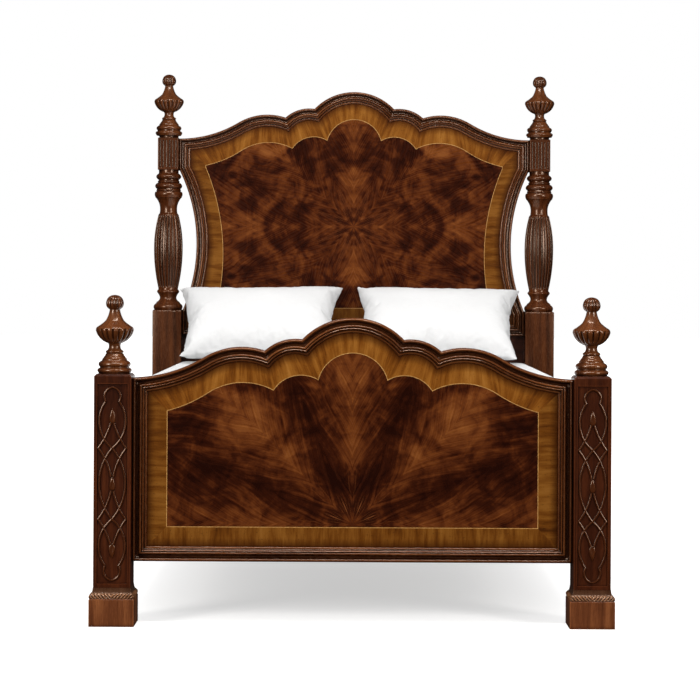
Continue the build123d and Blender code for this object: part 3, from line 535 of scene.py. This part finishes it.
def square_ring(half, corner, face_steps):
    """Points round a square with soft corners.

    Each is x, y, the place along the face, and the face's outward x and y."""
    ring = []
    flat = half - corner
    for quarter in range(4):
        c, s = cos(quarter * pi / 2), sin(quarter * pi / 2)
        for k in range(face_steps + 1):
            t = -flat + 2 * flat * k / face_steps
            ring.append((t * c + half * s, t * s - half * c, t, s, -c))
        for k in range(1, 4):
            turn = -pi / 2 + k * pi / 8
            px, py = flat + corner * cos(turn), -flat + corner * sin(turn)
            ring.append((px * c - py * s, px * s + py * c, None, 0, 0))
    return ring


def square_shaft(x, y, levels, face_steps=4, carve=None):
    """An upright square solid through (half width, height) levels.

    carve(place on face, height) gives a depth and how dark it is painted there, as painted shade with some
    old glazing."""
    rows, hollow = [], []
    for half, z in levels:
        row = []
        for px, py, t, nx, ny in square_ring(half, 2.2, face_steps):
            depth, glaze_and_shade = carve(t, z) if carve and t is not None else (0, 0)
            row.append((x + px - nx * depth, y + py - ny * depth, z))
            hollow.append(glaze_and_shade)
        rows.append(row)
    return grid(np.asarray(rows) * MM, hollow=hollow)


BLOCK_FLUTES, BLOCK_PITCH, BLOCK_FLUTE_R, BLOCK_FLUTE_DEPTH, BLOCK_FLUTE_REACH = 6, 13.6, 2.8, 3.0, 57


def carve_block(t, z):
    """Stopped flutes on each face of the reeded block."""
    end = max(0, abs(z - (HEAD_BLOCK_BOTTOM + HEAD_BLOCK_TOP) / 2) - BLOCK_FLUTE_REACH)
    nearest = min(abs(t - (k - (BLOCK_FLUTES - 1) / 2) * BLOCK_PITCH) for k in range(BLOCK_FLUTES))
    cut = sqrt(max(0, 1 - (nearest ** 2 + end ** 2) / BLOCK_FLUTE_R ** 2))
    return BLOCK_FLUTE_DEPTH * cut, 0.75 * cut


def make_head_post(side, name):
    """A square leg, the turned and fluted middle, the reeded block and the neck under the finial."""
    x, y = side * POST_X, POST_Y
    half = POST / 2
    leg = [(half, PLINTH_TOP), (half, 400), (half, 800), (half, HEAD_LEG_TOP - 7),
           (half - 0.9, HEAD_LEG_TOP - 3), (half - 4, HEAD_LEG_TOP)]
    heights = [HEAD_BLOCK_BOTTOM + 1 + k * (HEAD_BLOCK_TOP - HEAD_BLOCK_BOTTOM - 2) / 60 for k in range(61)]
    block = [(HEAD_BLOCK / 2 - 2, HEAD_BLOCK_BOTTOM)] + [(HEAD_BLOCK / 2, z) for z in heights]
    block += [(HEAD_BLOCK / 2 - 2, HEAD_BLOCK_TOP)]
    neck = [(43, HEAD_BLOCK_TOP - 1), (42, 1796), (42, 1801), (43, HEAD_POST_TOP)]
    piece(f"headboard_post_{name}_turned",
          [square_shaft(x, y, leg),
           lathe(turned_line(HEAD_TURNING), x, y, carve=carve_vase, sides=288),
           square_shaft(x, y, block, 64, carve_block),
           lathe(neck, x, y)],
          turned_wood, [f"headboard_post_{name}"])


def make_finial(x, y, base, name):
    piece(f"{name}_carved", [lathe(turned_line(FINIAL), x, y, base, carve_finial, sides=224)],
          finial_wood, [name])


# ---- gadroon mouldings at the plinths ------------------------------------------------------------
# How far out from the post, and height above the floor.
GADROON_LINE = ((10.8, PLINTH_TOP), (12.1, 95), (12.9, 96.5), (13.4, 98.5), (13.5, 100.5), (13.3, 102.5),
                (12.6, 105), (11.4, 107.5), (9.8, 109.5), (8.2, 111), (6.6, 112), (4.4, 114.5),
                (2.9, 118), (1.9, 122), (1.4, 126.5), (1.2, GADROON_TOP))
GADROON_LOW, GADROON_HIGH, GADROON_PITCH, GADROON_SLANT = 93.5, 112, 11.5, 0.9
# The cove is darkened back from the lit rope tones, as painted shade.
GADROON_DEPTH, COVE_DARKENING = 5.0, 0.8


def make_gadroon(x, y, name):
    """A mitred moulding round the foot of a post, carved like a rope.

    Its lobes lean away from the middle of each face, and a cove runs up to the post above them."""
    rows, hollow = [], []
    for out, z in GADROON_LINE:
        half = POST / 2 + out
        row = []
        for px, py, t, nx, ny in square_ring(half, 1.2, 150):
            crease = 0
            if t is not None and GADROON_LOW < z < GADROON_HIGH:
                rise = (z - GADROON_LOW) / (GADROON_HIGH - GADROON_LOW)
                phase = (abs(t) - GADROON_SLANT * (z - GADROON_LOW)) / GADROON_PITCH
                crease = (1 - abs(sin(pi * phase)) ** 0.8) * sin(pi * rise) ** 0.5
            depth = GADROON_DEPTH * crease
            row.append((x + px - nx * depth, y + py - ny * depth, z))
            # Painted shade in the grooves between the lobes, with some old glazing, and in the cove.
            hollow.append(max(1.3 * crease, COVE_DARKENING * between(z, GADROON_HIGH - 3, GADROON_HIGH + 1)))
        rows.append(row)
    inner = POST / 2 + 0.2
    for z in (GADROON_TOP, PLINTH_TOP):
        ring = [(x + max(-inner, min(inner, px)), y + max(-inner, min(inner, py)), z)
                for px, py, *_ in square_ring(POST / 2 + 1.2, 1.2, 150)]
        rows.append(ring)
        hollow += [COVE_DARKENING] * len(ring)
    carved_grid = grid(np.asarray(rows) * MM, round_rows=True, hollow=hollow)
    piece(f"{name}_carved", [carved_grid], gadroon_wood, [name])


# ---- strapwork on the foot posts -----------------------------------------------------------------
def circle_through(start, middle, end):
    """Centre and radius of the circle through three points."""
    (x0, z0), (x1, z1), (x2, z2) = start, middle, end
    d = 2 * (x0 * (z1 - z2) + x1 * (z2 - z0) + x2 * (z0 - z1))
    s0, s1, s2 = x0 * x0 + z0 * z0, x1 * x1 + z1 * z1, x2 * x2 + z2 * z2
    cx = (s0 * (z1 - z2) + s1 * (z2 - z0) + s2 * (z0 - z1)) / d
    cz = (s0 * (x2 - x1) + s1 * (x0 - x2) + s2 * (x1 - x0)) / d
    return (cx, cz), hypot(x0 - cx, z0 - cz)


def arc_points(start, middle, end, steps):
    """Points along the arc through three points."""
    (cx, cz), radius = circle_through(start, middle, end)
    a0, a1, a2 = (atan2(z - cz, x - cx) for x, z in (start, middle, end))
    turn = (a2 - a0) % (2 * pi)
    if (a1 - a0) % (2 * pi) > turn:
        turn -= 2 * pi
    return [(cx + radius * cos(a0 + turn * k / steps), cz + radius * sin(a0 + turn * k / steps))
            for k in range(steps + 1)]


STRAP_LINE = ((-3.5, 0), (-3.4, 2.0), (-2.6, 3.6), (-1.1, 4.4), (1.1, 4.4), (2.6, 3.6), (3.4, 2.0), (3.5, 0))


def strap(path, place):
    """A raised strap along points on a face."""
    path = np.asarray(path, float)
    tangent = np.gradient(path, axis=0)
    tangent /= np.linalg.norm(tangent, axis=1)[:, None]
    rows = [[place(px - tz * w, pz + tx * w, h) for w, h in STRAP_LINE]
            for (px, pz), (tx, tz) in zip(path, tangent)]
    # Painted shade at the strap's foot, with some old glazing.
    hollow = [[0.9 * max(0, 1 - h / 2.6) for _, h in STRAP_LINE]] * len(rows)
    return grid(np.asarray(rows) * MM, hollow=hollow)


def drop(place, z, half_w, low, high, point_up):
    """A carved bud: rounded at one end, pointed at the other, with a raised rim round a hollow."""
    rows = []
    steps = 22
    for k in range(steps + 1):
        t = k / steps
        along = t if point_up else 1 - t
        width = half_w * sin(pi * min(1, along ** 0.72)) ** 0.62 * (1 - 0.25 * along)
        height = low + (high - low) * t
        row = []
        for m in range(17):
            s = -1 + m / 8
            dome = 4.6 * sqrt(max(0, 1 - s * s)) * sin(pi * t) ** 0.5
            dish = 2.0 * max(0, 1 - (s / 0.55) ** 2) * max(0, 1 - ((along - 0.42) / 0.3) ** 2)
            row.append(place((width + 0.05) * s, z + height, dome - dish))
        rows.append(row)
    return grid(np.asarray(rows) * MM)


OVAL_X, CROSS_Z, DROP_Z, LOBE_R, LOBE_Z = 44, 120, 226, 27, 298.5


def fret(place):
    """Straps of one face: three ovals, two diamonds woven through them, three buds and the lobed ends."""
    grids = []
    for flip in (-1, 1):
        side = [arc_points((0, -CROSS_Z), (flip * OVAL_X, 0), (0, CROSS_Z), 40)]
        for end in (-1, 1):
            outer = arc_points((0, end * CROSS_Z), (flip * OVAL_X, end * 200), (flip * 23, end * 277), 30)
            tip = (0, end * (LOBE_Z + LOBE_R))
            lobe = arc_points((flip * 23, end * 277), (flip * LOBE_R, end * LOBE_Z), tip, 14)
            side += [outer, lobe]
            crossing = (flip * 47, end * CROSS_Z)
            side.append(arc_points((flip * 5, end * 205), (flip * 20, end * 165), crossing, 16))
            side.append(arc_points(crossing, (flip * 20, end * 75), (flip * 4, end * 24), 16))
        grids += [strap(path, place) for path in side]
    grids.append(drop(place, DROP_Z, 12, -24, 26, True))
    grids.append(drop(place, 0, 11, -24, 24, True))
    grids.append(drop(place, -DROP_Z, 12, -26, 24, False))
    return grids


def make_fret(side, name):
    """The strapwork on the front and the outer side of a foot post."""
    reach = POST / 2 - FRET_SINK
    x, y = side * POST_X, -POST_Y

    def on_front(u, v, w):
        return (x + u, y - reach - w, FRET_MIDDLE + v)

    def on_side(u, v, w):
        return (x + side * (reach + w), y + side * u, FRET_MIDDLE + v)

    piece(f"footboard_fret_{name}_carved", fret(on_front) + fret(on_side), turned_wood,
          [f"footboard_fret_{name}"], sharp=30)


# ---- outlines of the boards ----------------------------------------------------------------------
def upper_crossing(c0, r0, c1, r1):
    """The higher of the two points where two circles cross."""
    dx, dz = c1[0] - c0[0], c1[1] - c0[1]
    gap = hypot(dx, dz)
    along = (gap * gap + r0 * r0 - r1 * r1) / (2 * gap)
    off = sqrt(r0 * r0 - along * along)
    mid = (c0[0] + along * dx / gap, c0[1] + along * dz / gap)
    crossings = [(mid[0] + s * off * dz / gap, mid[1] - s * off * dx / gap) for s in (-1, 1)]
    return max(crossings, key=lambda point: point[1])


def on_circle(centre, radius, start, end, steps):
    """Points along a circle from one place on it to another, the short way round."""
    a = atan2(start[1] - centre[1], start[0] - centre[0])
    b = atan2(end[1] - centre[1], end[0] - centre[0])
    turn = (b - a + pi) % (2 * pi) - pi
    return [(centre[0] + radius * cos(a + turn * k / steps), centre[1] + radius * sin(a + turn * k / steps))
            for k in range(steps + 1)]


def scallops(arcs, crest, inset, end_x):
    """Stretches of the scalloped top's right half, from the crest outwards, moved inwards by inset."""
    circles = [((x, crest + z), r - bulge * inset) for x, z, r, bulge in arcs]
    (c0, r0), (c1, r1), (c2, r2), (c3, r3) = circles
    span = hypot(c3[0] - c2[0], c3[1] - c2[1])
    joint = (c2[0] + r2 * (c3[0] - c2[0]) / span, c2[1] + r2 * (c3[1] - c2[1]) / span)
    end = (end_x, c3[1] - sqrt(r3 * r3 - (end_x - c3[0]) ** 2))
    stops = [(0, c0[1] + r0), upper_crossing(c0, r0, c1, r1), upper_crossing(c1, r1, c2, r2), joint, end]
    return [on_circle(c, r, stops[i], stops[i + 1], 26) for i, (c, r) in enumerate(circles)]


def straight(start, end, steps):
    return [(start[0] + (end[0] - start[0]) * k / steps, start[1] + (end[1] - start[1]) * k / steps)
            for k in range(steps + 1)]


def hollow_side(points, inset, top_x, bottom_x):
    """The headboard's concave side, moved inwards by inset."""
    centre, radius = circle_through(*points)
    radius += inset
    top = (top_x, centre[1] + sqrt(radius ** 2 - (top_x - centre[0]) ** 2))
    bottom = (bottom_x, centre[1] - sqrt(radius ** 2 - (bottom_x - centre[0]) ** 2))
    return on_circle(centre, radius, top, bottom, 40)


def foot_half(inset, arcs=EDGE_ARCS, side_x=POST_IN_X, bottom=FOOT_BOTTOM):
    """Top, side and bottom stretches of the footboard's right half, moved inwards by inset."""
    top = scallops(arcs, FOOT_CREST, inset, side_x - inset)
    corner = (side_x - inset, bottom + inset)
    return top, [straight(top[-1][-1], corner, 30)], straight(corner, (0, corner[1]), 30)


def head_half(inset, arcs=EDGE_ARCS, side_points=HEAD_SIDE, bottom=HEAD_BOTTOM):
    """The same of the headboard's right half, with its concave side."""
    top_x, low_x = side_points[0][0] - inset, side_points[2][0] - inset
    top = scallops(arcs, HEAD_CREST, inset, top_x)
    side = hollow_side(side_points, inset, top_x, low_x)
    corner = (low_x, bottom + inset)
    return top, [straight(top[-1][-1], side[0], 8), side, straight(side[-1], corner, 8)], \
        straight(corner, (0, corner[1]), 30)


def run_together(stretches):
    line = list(stretches[0])
    for stretch in stretches[1:]:
        line += stretch[1:]
    return line


def mirrored(line):
    return [(-x, z) for x, z in line]


def stretches(half):
    """The four sides of a board from its right half: crest, right side, left side and bottom."""
    top, side, bottom = half
    crest, right = run_together(top), run_together(side)
    return {"crest": mirrored(crest)[::-1][:-1] + crest, "side_right": right, "side_left": mirrored(right),
            "bottom": bottom + mirrored(bottom)[::-1][1:]}


# ---- mouldings and crossbanding ------------------------------------------------------------------
# Section of the frame moulding: inset from the edge, and height in front of the panel.
MOULD_LINE = ((0, -MOULD_BACK), (0, -20), (0, 4), (0, 11), (1.0, 15), (3.4, 18.6), (6.4, 19.9),
              (9.2, 18.8), (11.2, 15.6), (12.0, 11.0), (13.6, 7.6), (16.4, 5.6), (19.6, 5.4), (22.2, 7.2),
              (23.6, 10.0), (24.2, 13.6), (26.0, 16.2), (28.6, 16.9), (31.0, 15.6), (32.0, 12.0),
              (33.0, 11.6), (34.0, 14.2), (36.4, 15.4), (38.6, 13.8), (39.8, 9.6), (40.6, 6.4), (42.4, 5.4),
              (43.6, 6.2), (45.8, 6.6), (48.2, 5.6), (49.4, 3.4), (50, 0.8), (50, -VENEER), (12, -VENEER),
              (12, -MOULD_BACK))
MOULD_GROOVES = ((12.6, 6.5, 0.9), (18.0, 7.0, 0.55), (32.5, 1.4, 0.9), (40.8, 2.6, 0.95), (50, 1.2, 0.8))


def groove_glaze_and_shade(inset, height):
    """How dark a point of the section is painted, as painted shade with some old glazing: grooves are
    (inset, half width, darkening).
    """
    if height < 0:
        return 0
    return max(glaze_and_shade * max(0, 1 - abs(inset - middle) / half) for middle, half, glaze_and_shade in MOULD_GROOVES)


def make_mouldings(end, board, outline):
    """Sweeps the moulding's section round the board, in four lengths mitred at the corners."""
    insets = sorted({inset for inset, _ in MOULD_LINE})
    lines = {inset: stretches(outline(inset)) for inset in insets}
    glaze_and_shade = [groove_glaze_and_shade(inset, height) for inset, height in MOULD_LINE]
    for part, node in (("crest", "crest_moulding"), ("side_right", "side_moulding_right"),
                       ("side_left", "side_moulding_left"), ("bottom", "bottom_moulding")):
        points = []
        for k in range(len(lines[0][part])):
            section = [(*lines[inset][part][k], height) for inset, height in MOULD_LINE]
            points.append([(x, end * POST_Y - height, z) for x, z, height in section])
        hollow = [glaze_and_shade] * len(points)
        piece(f"{board}_{node}_run", [grid(np.asarray(points) * MM, hollow=hollow)], moulded_wood,
              [f"{board}_{node}"], sharp=50)


def make_crossband(end, board, outline, field):
    """Four thin bands from the moulding to the field, the grain across each.

    u follows the curve on the crest, and the edge elsewhere."""
    outer, inner = stretches(outline(MOULD_W)), stretches(field)
    grids = []
    for index, part in enumerate(("crest", "side_right", "side_left", "bottom")):
        rows = []
        for (x0, z0), (x1, z1) in zip(outer[part], inner[part]):
            front = [(x0 + (x1 - x0) * t, end * POST_Y, z0 + (z1 - z0) * t) for t in (0, 0.25, 0.5, 0.75, 1)]
            rows.append(front + [(px, end * POST_Y + VENEER, pz) for px, _, pz in front[::-1]])
        points = np.asarray(rows) * MM
        along = points[:, :, 0 if part == "bottom" else 2] + 3.0 * (index + 1)
        grids.append(grid(points, u=None if part == "crest" else along))
    bands = [crest_band, edge_band, edge_band, edge_band]
    piece(f"{board}_crossband_laid", grids, bands, [f"{board}_crossband"])


# ---- bedding, in metres --------------------------------------------------------------------------
RING_POINTS, FACE_RINGS, BORDER_LEVELS = 360, 46, 34
PIPING = 0.004


def rounded_ring(half_w, half_l, corner):
    """Points evenly round a rectangle with round corners."""
    corner = max(corner, 0.001)
    flat_w, flat_l = half_w - corner, half_l - corner
    lengths = [2 * flat_l, corner * pi / 2, 2 * flat_w, corner * pi / 2] * 2
    total = sum(lengths)
    ring = []
    for k in range(RING_POINTS):
        s = total * k / RING_POINTS
        stretch = 0
        while s > lengths[stretch]:
            s -= lengths[stretch]
            stretch += 1
        quarter = stretch // 2
        turn = quarter * pi / 2
        near, far = (flat_w, flat_l) if quarter % 2 == 0 else (flat_l, flat_w)
        if stretch % 2 == 0:
            px, py = near + corner, -far + s
        else:
            a = s / corner
            px, py = near + corner * cos(a), far + corner * sin(a)
        c, si = cos(turn), sin(turn)
        ring.append((px * c - py * si, px * si + py * c))
    return ring


def wave_noise(x, y, seed):
    """A slow, smooth unevenness between about -1 and 1."""
    waves = (3.1 * x + 1.7 * y + seed, -2.3 * x + 4.1 * y + 2.2 * seed, 5.3 * x + 3.7 * seed)
    return (sin(waves[0]) + sin(waves[1]) + sin(waves[2])) / 3


def quilt(x, y, pitch, depth):
    """Depth of diamond stitching below the crown of the quilting."""
    a = (x + y) / pitch
    b = (x - y) / pitch
    return depth * (1 - (abs(sin(pi * a)) * abs(sin(pi * b))) ** 0.35)


def slab_levels(low, high, roll, cords):
    """Inset and height of each level of a mattress side, from the bottom up, with piping at the cords."""
    curl = [(roll * (1 - sin(k * pi / 12)), roll * (1 - cos(k * pi / 12))) for k in range(7)]
    levels = [(inset, low + rise) for inset, rise in curl]
    for k in range(1, BORDER_LEVELS):
        z = low + roll + (high - low - 2 * roll) * k / BORDER_LEVELS
        swell = 0.004 * sin(3 * pi * (z - low - roll) / (high - low - 2 * roll)) ** 2
        levels.append((0.005 - swell, z))
    levels += [(inset, high - rise) for inset, rise in curl[::-1]]
    piped = [any(abs(z - cord) < PIPING for cord in cords) for _, z in levels]
    return [(inset - PIPING if cord else inset, z) for (inset, z), cord in zip(levels, piped)]


def make_slab(name, material, corner, roll, cords, quilt_pitch, quilt_depth, crown):
    """A mattress or a foundation: piped edges, a banded border, and a top quilted in diamonds."""
    low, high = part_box(name)
    half_w, half_l = high.x - 0.003, high.y - 0.003

    def face(z, up):
        rings = []
        for k in range(1, FACE_RINGS + 1):
            inset = roll + (half_w - roll - 0.01) * (k / FACE_RINGS)
            ring = []
            for px, py in rounded_ring(half_w - inset, half_l - inset, max(0.004, corner - inset)):
                edge = between(inset, roll, roll + 0.06)
                dome = between(half_w - abs(px), roll, half_w * 0.8)
                dome *= between(half_l - abs(py), roll, half_w * 0.8)
                lift = crown * dome - edge * quilt(px, py, quilt_pitch, quilt_depth)
                lift += up * 0.0012 * edge * wave_noise(px * 2, py * 2, 1.3)
                ring.append((px, py, z + up * (lift if up > 0 else min(lift, 0))))
            rings.append(ring)
        return rings

    top_z = high.z - crown - 0.001
    rows = face(low.z + 0.001, -1)[::-1]
    for inset, z in slab_levels(low.z + 0.001, top_z, roll, cords):
        ring = rounded_ring(half_w - inset, half_l - inset, max(0.004, corner - inset))
        rows.append([(px, py, z) for px, py in ring])
    rows += face(top_z, 1)
    made = piece(f"{name}_quilted", [grid(rows)], material, [name], body=name, sharp=60)


def simulate_pillow(made, pressure):
    """Blows a flat sewn case up to a stuffed pillow with the cloth solver, and applies the result."""
    scene = bpy.context.scene
    bpy.context.view_layer.objects.active = made
    cloth_mod = made.modifiers.new("cloth", "CLOTH")
    cotton_cloth = {"use_pressure": True, "uniform_pressure_force": pressure, "quality": 6, "mass": 0.25,
                    "tension_stiffness": 40, "compression_stiffness": 12, "shear_stiffness": 10,
                    "bending_stiffness": 0.25, "air_damping": 3}
    for setting, value in cotton_cloth.items():
        setattr(cloth_mod.settings, setting, value)
    cloth_mod.settings.effector_weights.gravity = 0
    cloth_mod.collision_settings.use_collision = False
    cloth_mod.point_cache.frame_start = 1
    cloth_mod.point_cache.frame_end = PILLOW_FRAMES
    for number in range(1, PILLOW_FRAMES + 1):
        scene.frame_set(number)
    depsgraph = bpy.context.evaluated_depsgraph_get()
    blown = np.array([v.co[:] for v in made.evaluated_get(depsgraph).to_mesh().vertices])
    made.modifiers.remove(cloth_mod)
    scene.frame_set(1)
    return blown


PILLOW_CASE, PILLOW_TAPER = (0.725, 0.495), 0.035
LONG_HOLLOW, SHORT_HOLLOW = 0.065, 0.01
CASE_COLS, CASE_ROWS = 76, 52
PILLOW_FRAMES, PILLOW_LEAN = 24, radians(39)


def pillow_case():
    """Two layers of cloth on one sewn edge, almost flat: points, faces and UVs in the pillow's own plane."""
    width, length = PILLOW_CASE
    cols, rows = CASE_COLS, CASE_ROWS
    verts, faces, uvs, index = [], [], [], {}
    for layer in (-1, 1):
        for i in range(rows + 1):
            for j in range(cols + 1):
                rim = i in (0, rows) or j in (0, cols)
                if rim and layer == 1:
                    index[layer, i, j] = index[-1, i, j]
                    continue
                s, t = 2 * j / cols - 1, 2 * i / rows - 1
                draw = 1 - LONG_HOLLOW * (1 - s ** 2) * t * t
                pinch = 1 - SHORT_HOLLOW * (1 - t ** 2) * s * s
                puff = 0.035 * (1 - s ** 4) * (1 - t ** 4)
                index[layer, i, j] = len(verts)
                taper = 1 + PILLOW_TAPER * t
                verts.append((s * width / 2 * pinch * taper, t * length / 2 * draw, layer * puff))
    for layer in (-1, 1):
        for i in range(rows):
            for j in range(cols):
                corners = [(i, j), (i, j + 1), (i + 1, j + 1), (i + 1, j)]
                if layer < 0:
                    corners.reverse()
                faces.append(tuple(index[layer, a, b] for a, b in corners))
                shift = 0.8 if layer > 0 else 0
                uvs += [(b / cols * width, a / rows * length + shift) for a, b in corners]
    return verts, faces, uvs


def make_pillow(name, turn, seed, pressure):
    """A stuffed pillow, laid back against the headboard where its CAD solid is."""
    low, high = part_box(name)
    case_verts, faces, uvs = pillow_case()
    rng = np.random.default_rng(seed)
    verts = np.asarray(case_verts)
    verts = verts + rng.normal(0, 0.0006, verts.shape)
    case = (verts, faces, uvs, [0] * len(verts))
    made = piece(f"{name}_stuffed", [case], cotton, [name], body=name, sharp=180)
    verts = simulate_pillow(made, pressure)
    spin = Matrix.Rotation(PILLOW_LEAN, 3, "X") @ Matrix.Rotation(turn, 3, "Z")
    laid = verts @ np.array(spin).T + np.array((low + high) / 2)
    floor_z, back_y = low.z + 0.0004, high.y - 0.0005
    laid[:, 2] = settle(laid[:, 2], floor_z)
    laid[:, 1] = -settle(-laid[:, 1], -back_y)
    made.data.vertices.foreach_set("co", laid.ravel())
    made.data.update()
    smooth = made.modifiers.new("smooth", "SUBSURF")
    smooth.levels = smooth.render_levels = 1


def settle(values, limit):
    """Presses values softly above a limit, so that cloth flattens on what it lies against."""
    soft = 0.018
    over = values - limit
    return np.where(over > soft, values, limit + soft * np.exp(np.minimum(over / soft - 1, 0)))


# ---- putting it together -------------------------------------------------------------------------
for side, name in SIDES:
    make_head_post(side, name)
    make_fret(side, name)
    make_finial(side * POST_X, -POST_Y, FOOT_POST_TOP, f"footboard_finial_{name}")
    make_finial(side * POST_X, POST_Y, HEAD_POST_TOP, f"headboard_finial_{name}")
    dress(f"footboard_post_{name}", post_wood, bevel=0.0018)
    dress(f"side_rail_{name}", rail_wood, bevel=0.0015)
    dress(f"ledger_{name}", beam_wood, bevel=0.001)
    for end, board in ENDS:
        make_gadroon(side * POST_X, end * POST_Y, f"{board}_gadroon_{name}")
        dress(f"{board}_plinth_{name}", plinth_wood, bevel=0.003)

foot_field = foot_half(0, FIELD_ARCS, FIELD_HALF_W, FOOT_FIELD_BOTTOM)
head_field = head_half(0, FIELD_ARCS, HEAD_FIELD_SIDE, HEAD_FIELD_BOTTOM)
for end, board, outline, field, flame in ((-1, "footboard", foot_half, foot_field, foot_flame),
                                          (1, "headboard", head_half, head_field, head_flame)):
    make_mouldings(end, board, outline)
    make_crossband(end, board, outline, field)
    dress(f"{board}_panel", across_wood)
    dress(f"{board}_stringing", inlay_wood)
    dress(f"{board}_field", flame)
    dress(f"{board}_dowels", beam_wood)
dress("headboard_lower_board", across_wood, bevel=0.0015)
dress("slats", slat_wood, bevel=0.0015)
dress("centre_beam", beam_wood, bevel=0.0015)
dress("centre_leg", leg_wood, bevel=0.0015)
dress("leg_leveller", plastic)
for name in ("rail_hook_plates", "post_slotted_plates", "hook_plate_screws", "slotted_plate_screws",
             "ledger_screws", "slat_screws", "leg_bolt", "leg_insert"):
    dress(name, metal)

make_slab("box_spring", base_cloth, corner=0.060, roll=0.010, cords=(0.300, 0.515),
          quilt_pitch=0.5, quilt_depth=0.0004, crown=0.001)
make_slab("mattress", ticking, corner=0.070, roll=0.032, cords=(0.556, 0.785),
          quilt_pitch=0.20, quilt_depth=0.007, crown=0.008)
make_pillow("pillow_left", radians(1.0), 5, 2.2)
make_pillow("pillow_right", radians(-1.2), 9, 2.1)


# ---- floor, light and camera ---------------------------------------------------------------------
def make_floor():
    """A white floor that glows, a little more further from the middle, lightening the bed's shadow on it; it
    doesn't show in the lacquer.
    """
    tree = Tree("studio_floor", roughness=0.8, specular_ior_level=0.0, emission_strength=1.0)
    grain = tree.noise(tree.place(), 60, 3)
    distance = tree.node("VectorMath", tree.place(), operation="LENGTH").outputs["Value"]
    glow = tree.ramp(tree.range(distance, 1.6, 5.0), (0.0, 0.52), (1.0, 0.60))
    tree.put(tree.shader.inputs["Emission Color"], glow)
    material = tree.finish(tree.ramp(grain, (0.2, 0.80), (0.8, 0.82)))
    mesh = bpy.data.meshes.new("studio_floor")
    reach = 40.0
    mesh.from_pydata([(-reach, -reach, 0), (reach, -reach, 0), (reach, reach, 0), (-reach, reach, 0)], [],
                     [(0, 1, 2, 3)])
    mesh.materials.append(material)
    floor = place_object("studio_floor", mesh)
    floor.visible_glossy = floor.visible_diffuse = False


def add_light(name, place, aim, size, watts):
    light = bpy.data.lights.new(name, "AREA")
    light.shape = "RECTANGLE"
    light.size, light.size_y = size
    light.energy = watts
    light.color = (1.0, 0.975, 0.95)
    made = place_object(name, light)
    made.location = place
    made.rotation_euler = (Vector(aim) - Vector(place)).to_track_quat("-Z", "Y").to_euler()


def make_world():
    """A white studio, brightest overhead, and held back in reflections to keep dark lacquer deep."""
    tree = Tree("studio", world=True, color=(1, 1, 1, 1))
    up = tree.split(tree.place("Generated"))[2]
    light = tree.range(up, -0.15, 0.45, 0.06, 0.96)
    ray = tree.node("LightPath").outputs
    strength = tree.range(ray["Is Glossy Ray"], 0.0, 1.0, light, 0.015)
    tree.put(tree.shader.inputs["Strength"], tree.math("MAXIMUM", ray["Is Camera Ray"], strength))
    bpy.context.scene.world = tree.owner


def make_camera():
    """Straight in front of the bed, a little above the footboard's crest, looking along +Y."""
    camera = bpy.data.cameras.new("camera")
    camera.lens, camera.sensor_width = 112.4, 36
    camera.shift_x, camera.shift_y = -0.0049, -0.0921
    camera.clip_end = 200
    made = place_object("camera", camera)
    made.location = (0, -8.492, 1.153)
    roll = Matrix.Rotation(radians(0.3), 3, "Z")
    made.rotation_euler = (Matrix.Rotation(pi / 2, 3, "X") @ roll).to_euler()
    bpy.context.scene.camera = made


make_floor()
make_world()
make_camera()
add_light("key_left", (-4.2, -5.2, 2.4), (0, -0.5, 0.9), (1.5, 2.4), 205)
add_light("key_right", (4.4, -5.0, 2.4), (0, -0.5, 0.9), (1.3, 2.4), 162)
add_light("overhead", (0, -2.6, 4.6), (0, 0, 0.9), (3.4, 0.5), 120)
bpy.context.scene.view_settings.view_transform = "Standard"
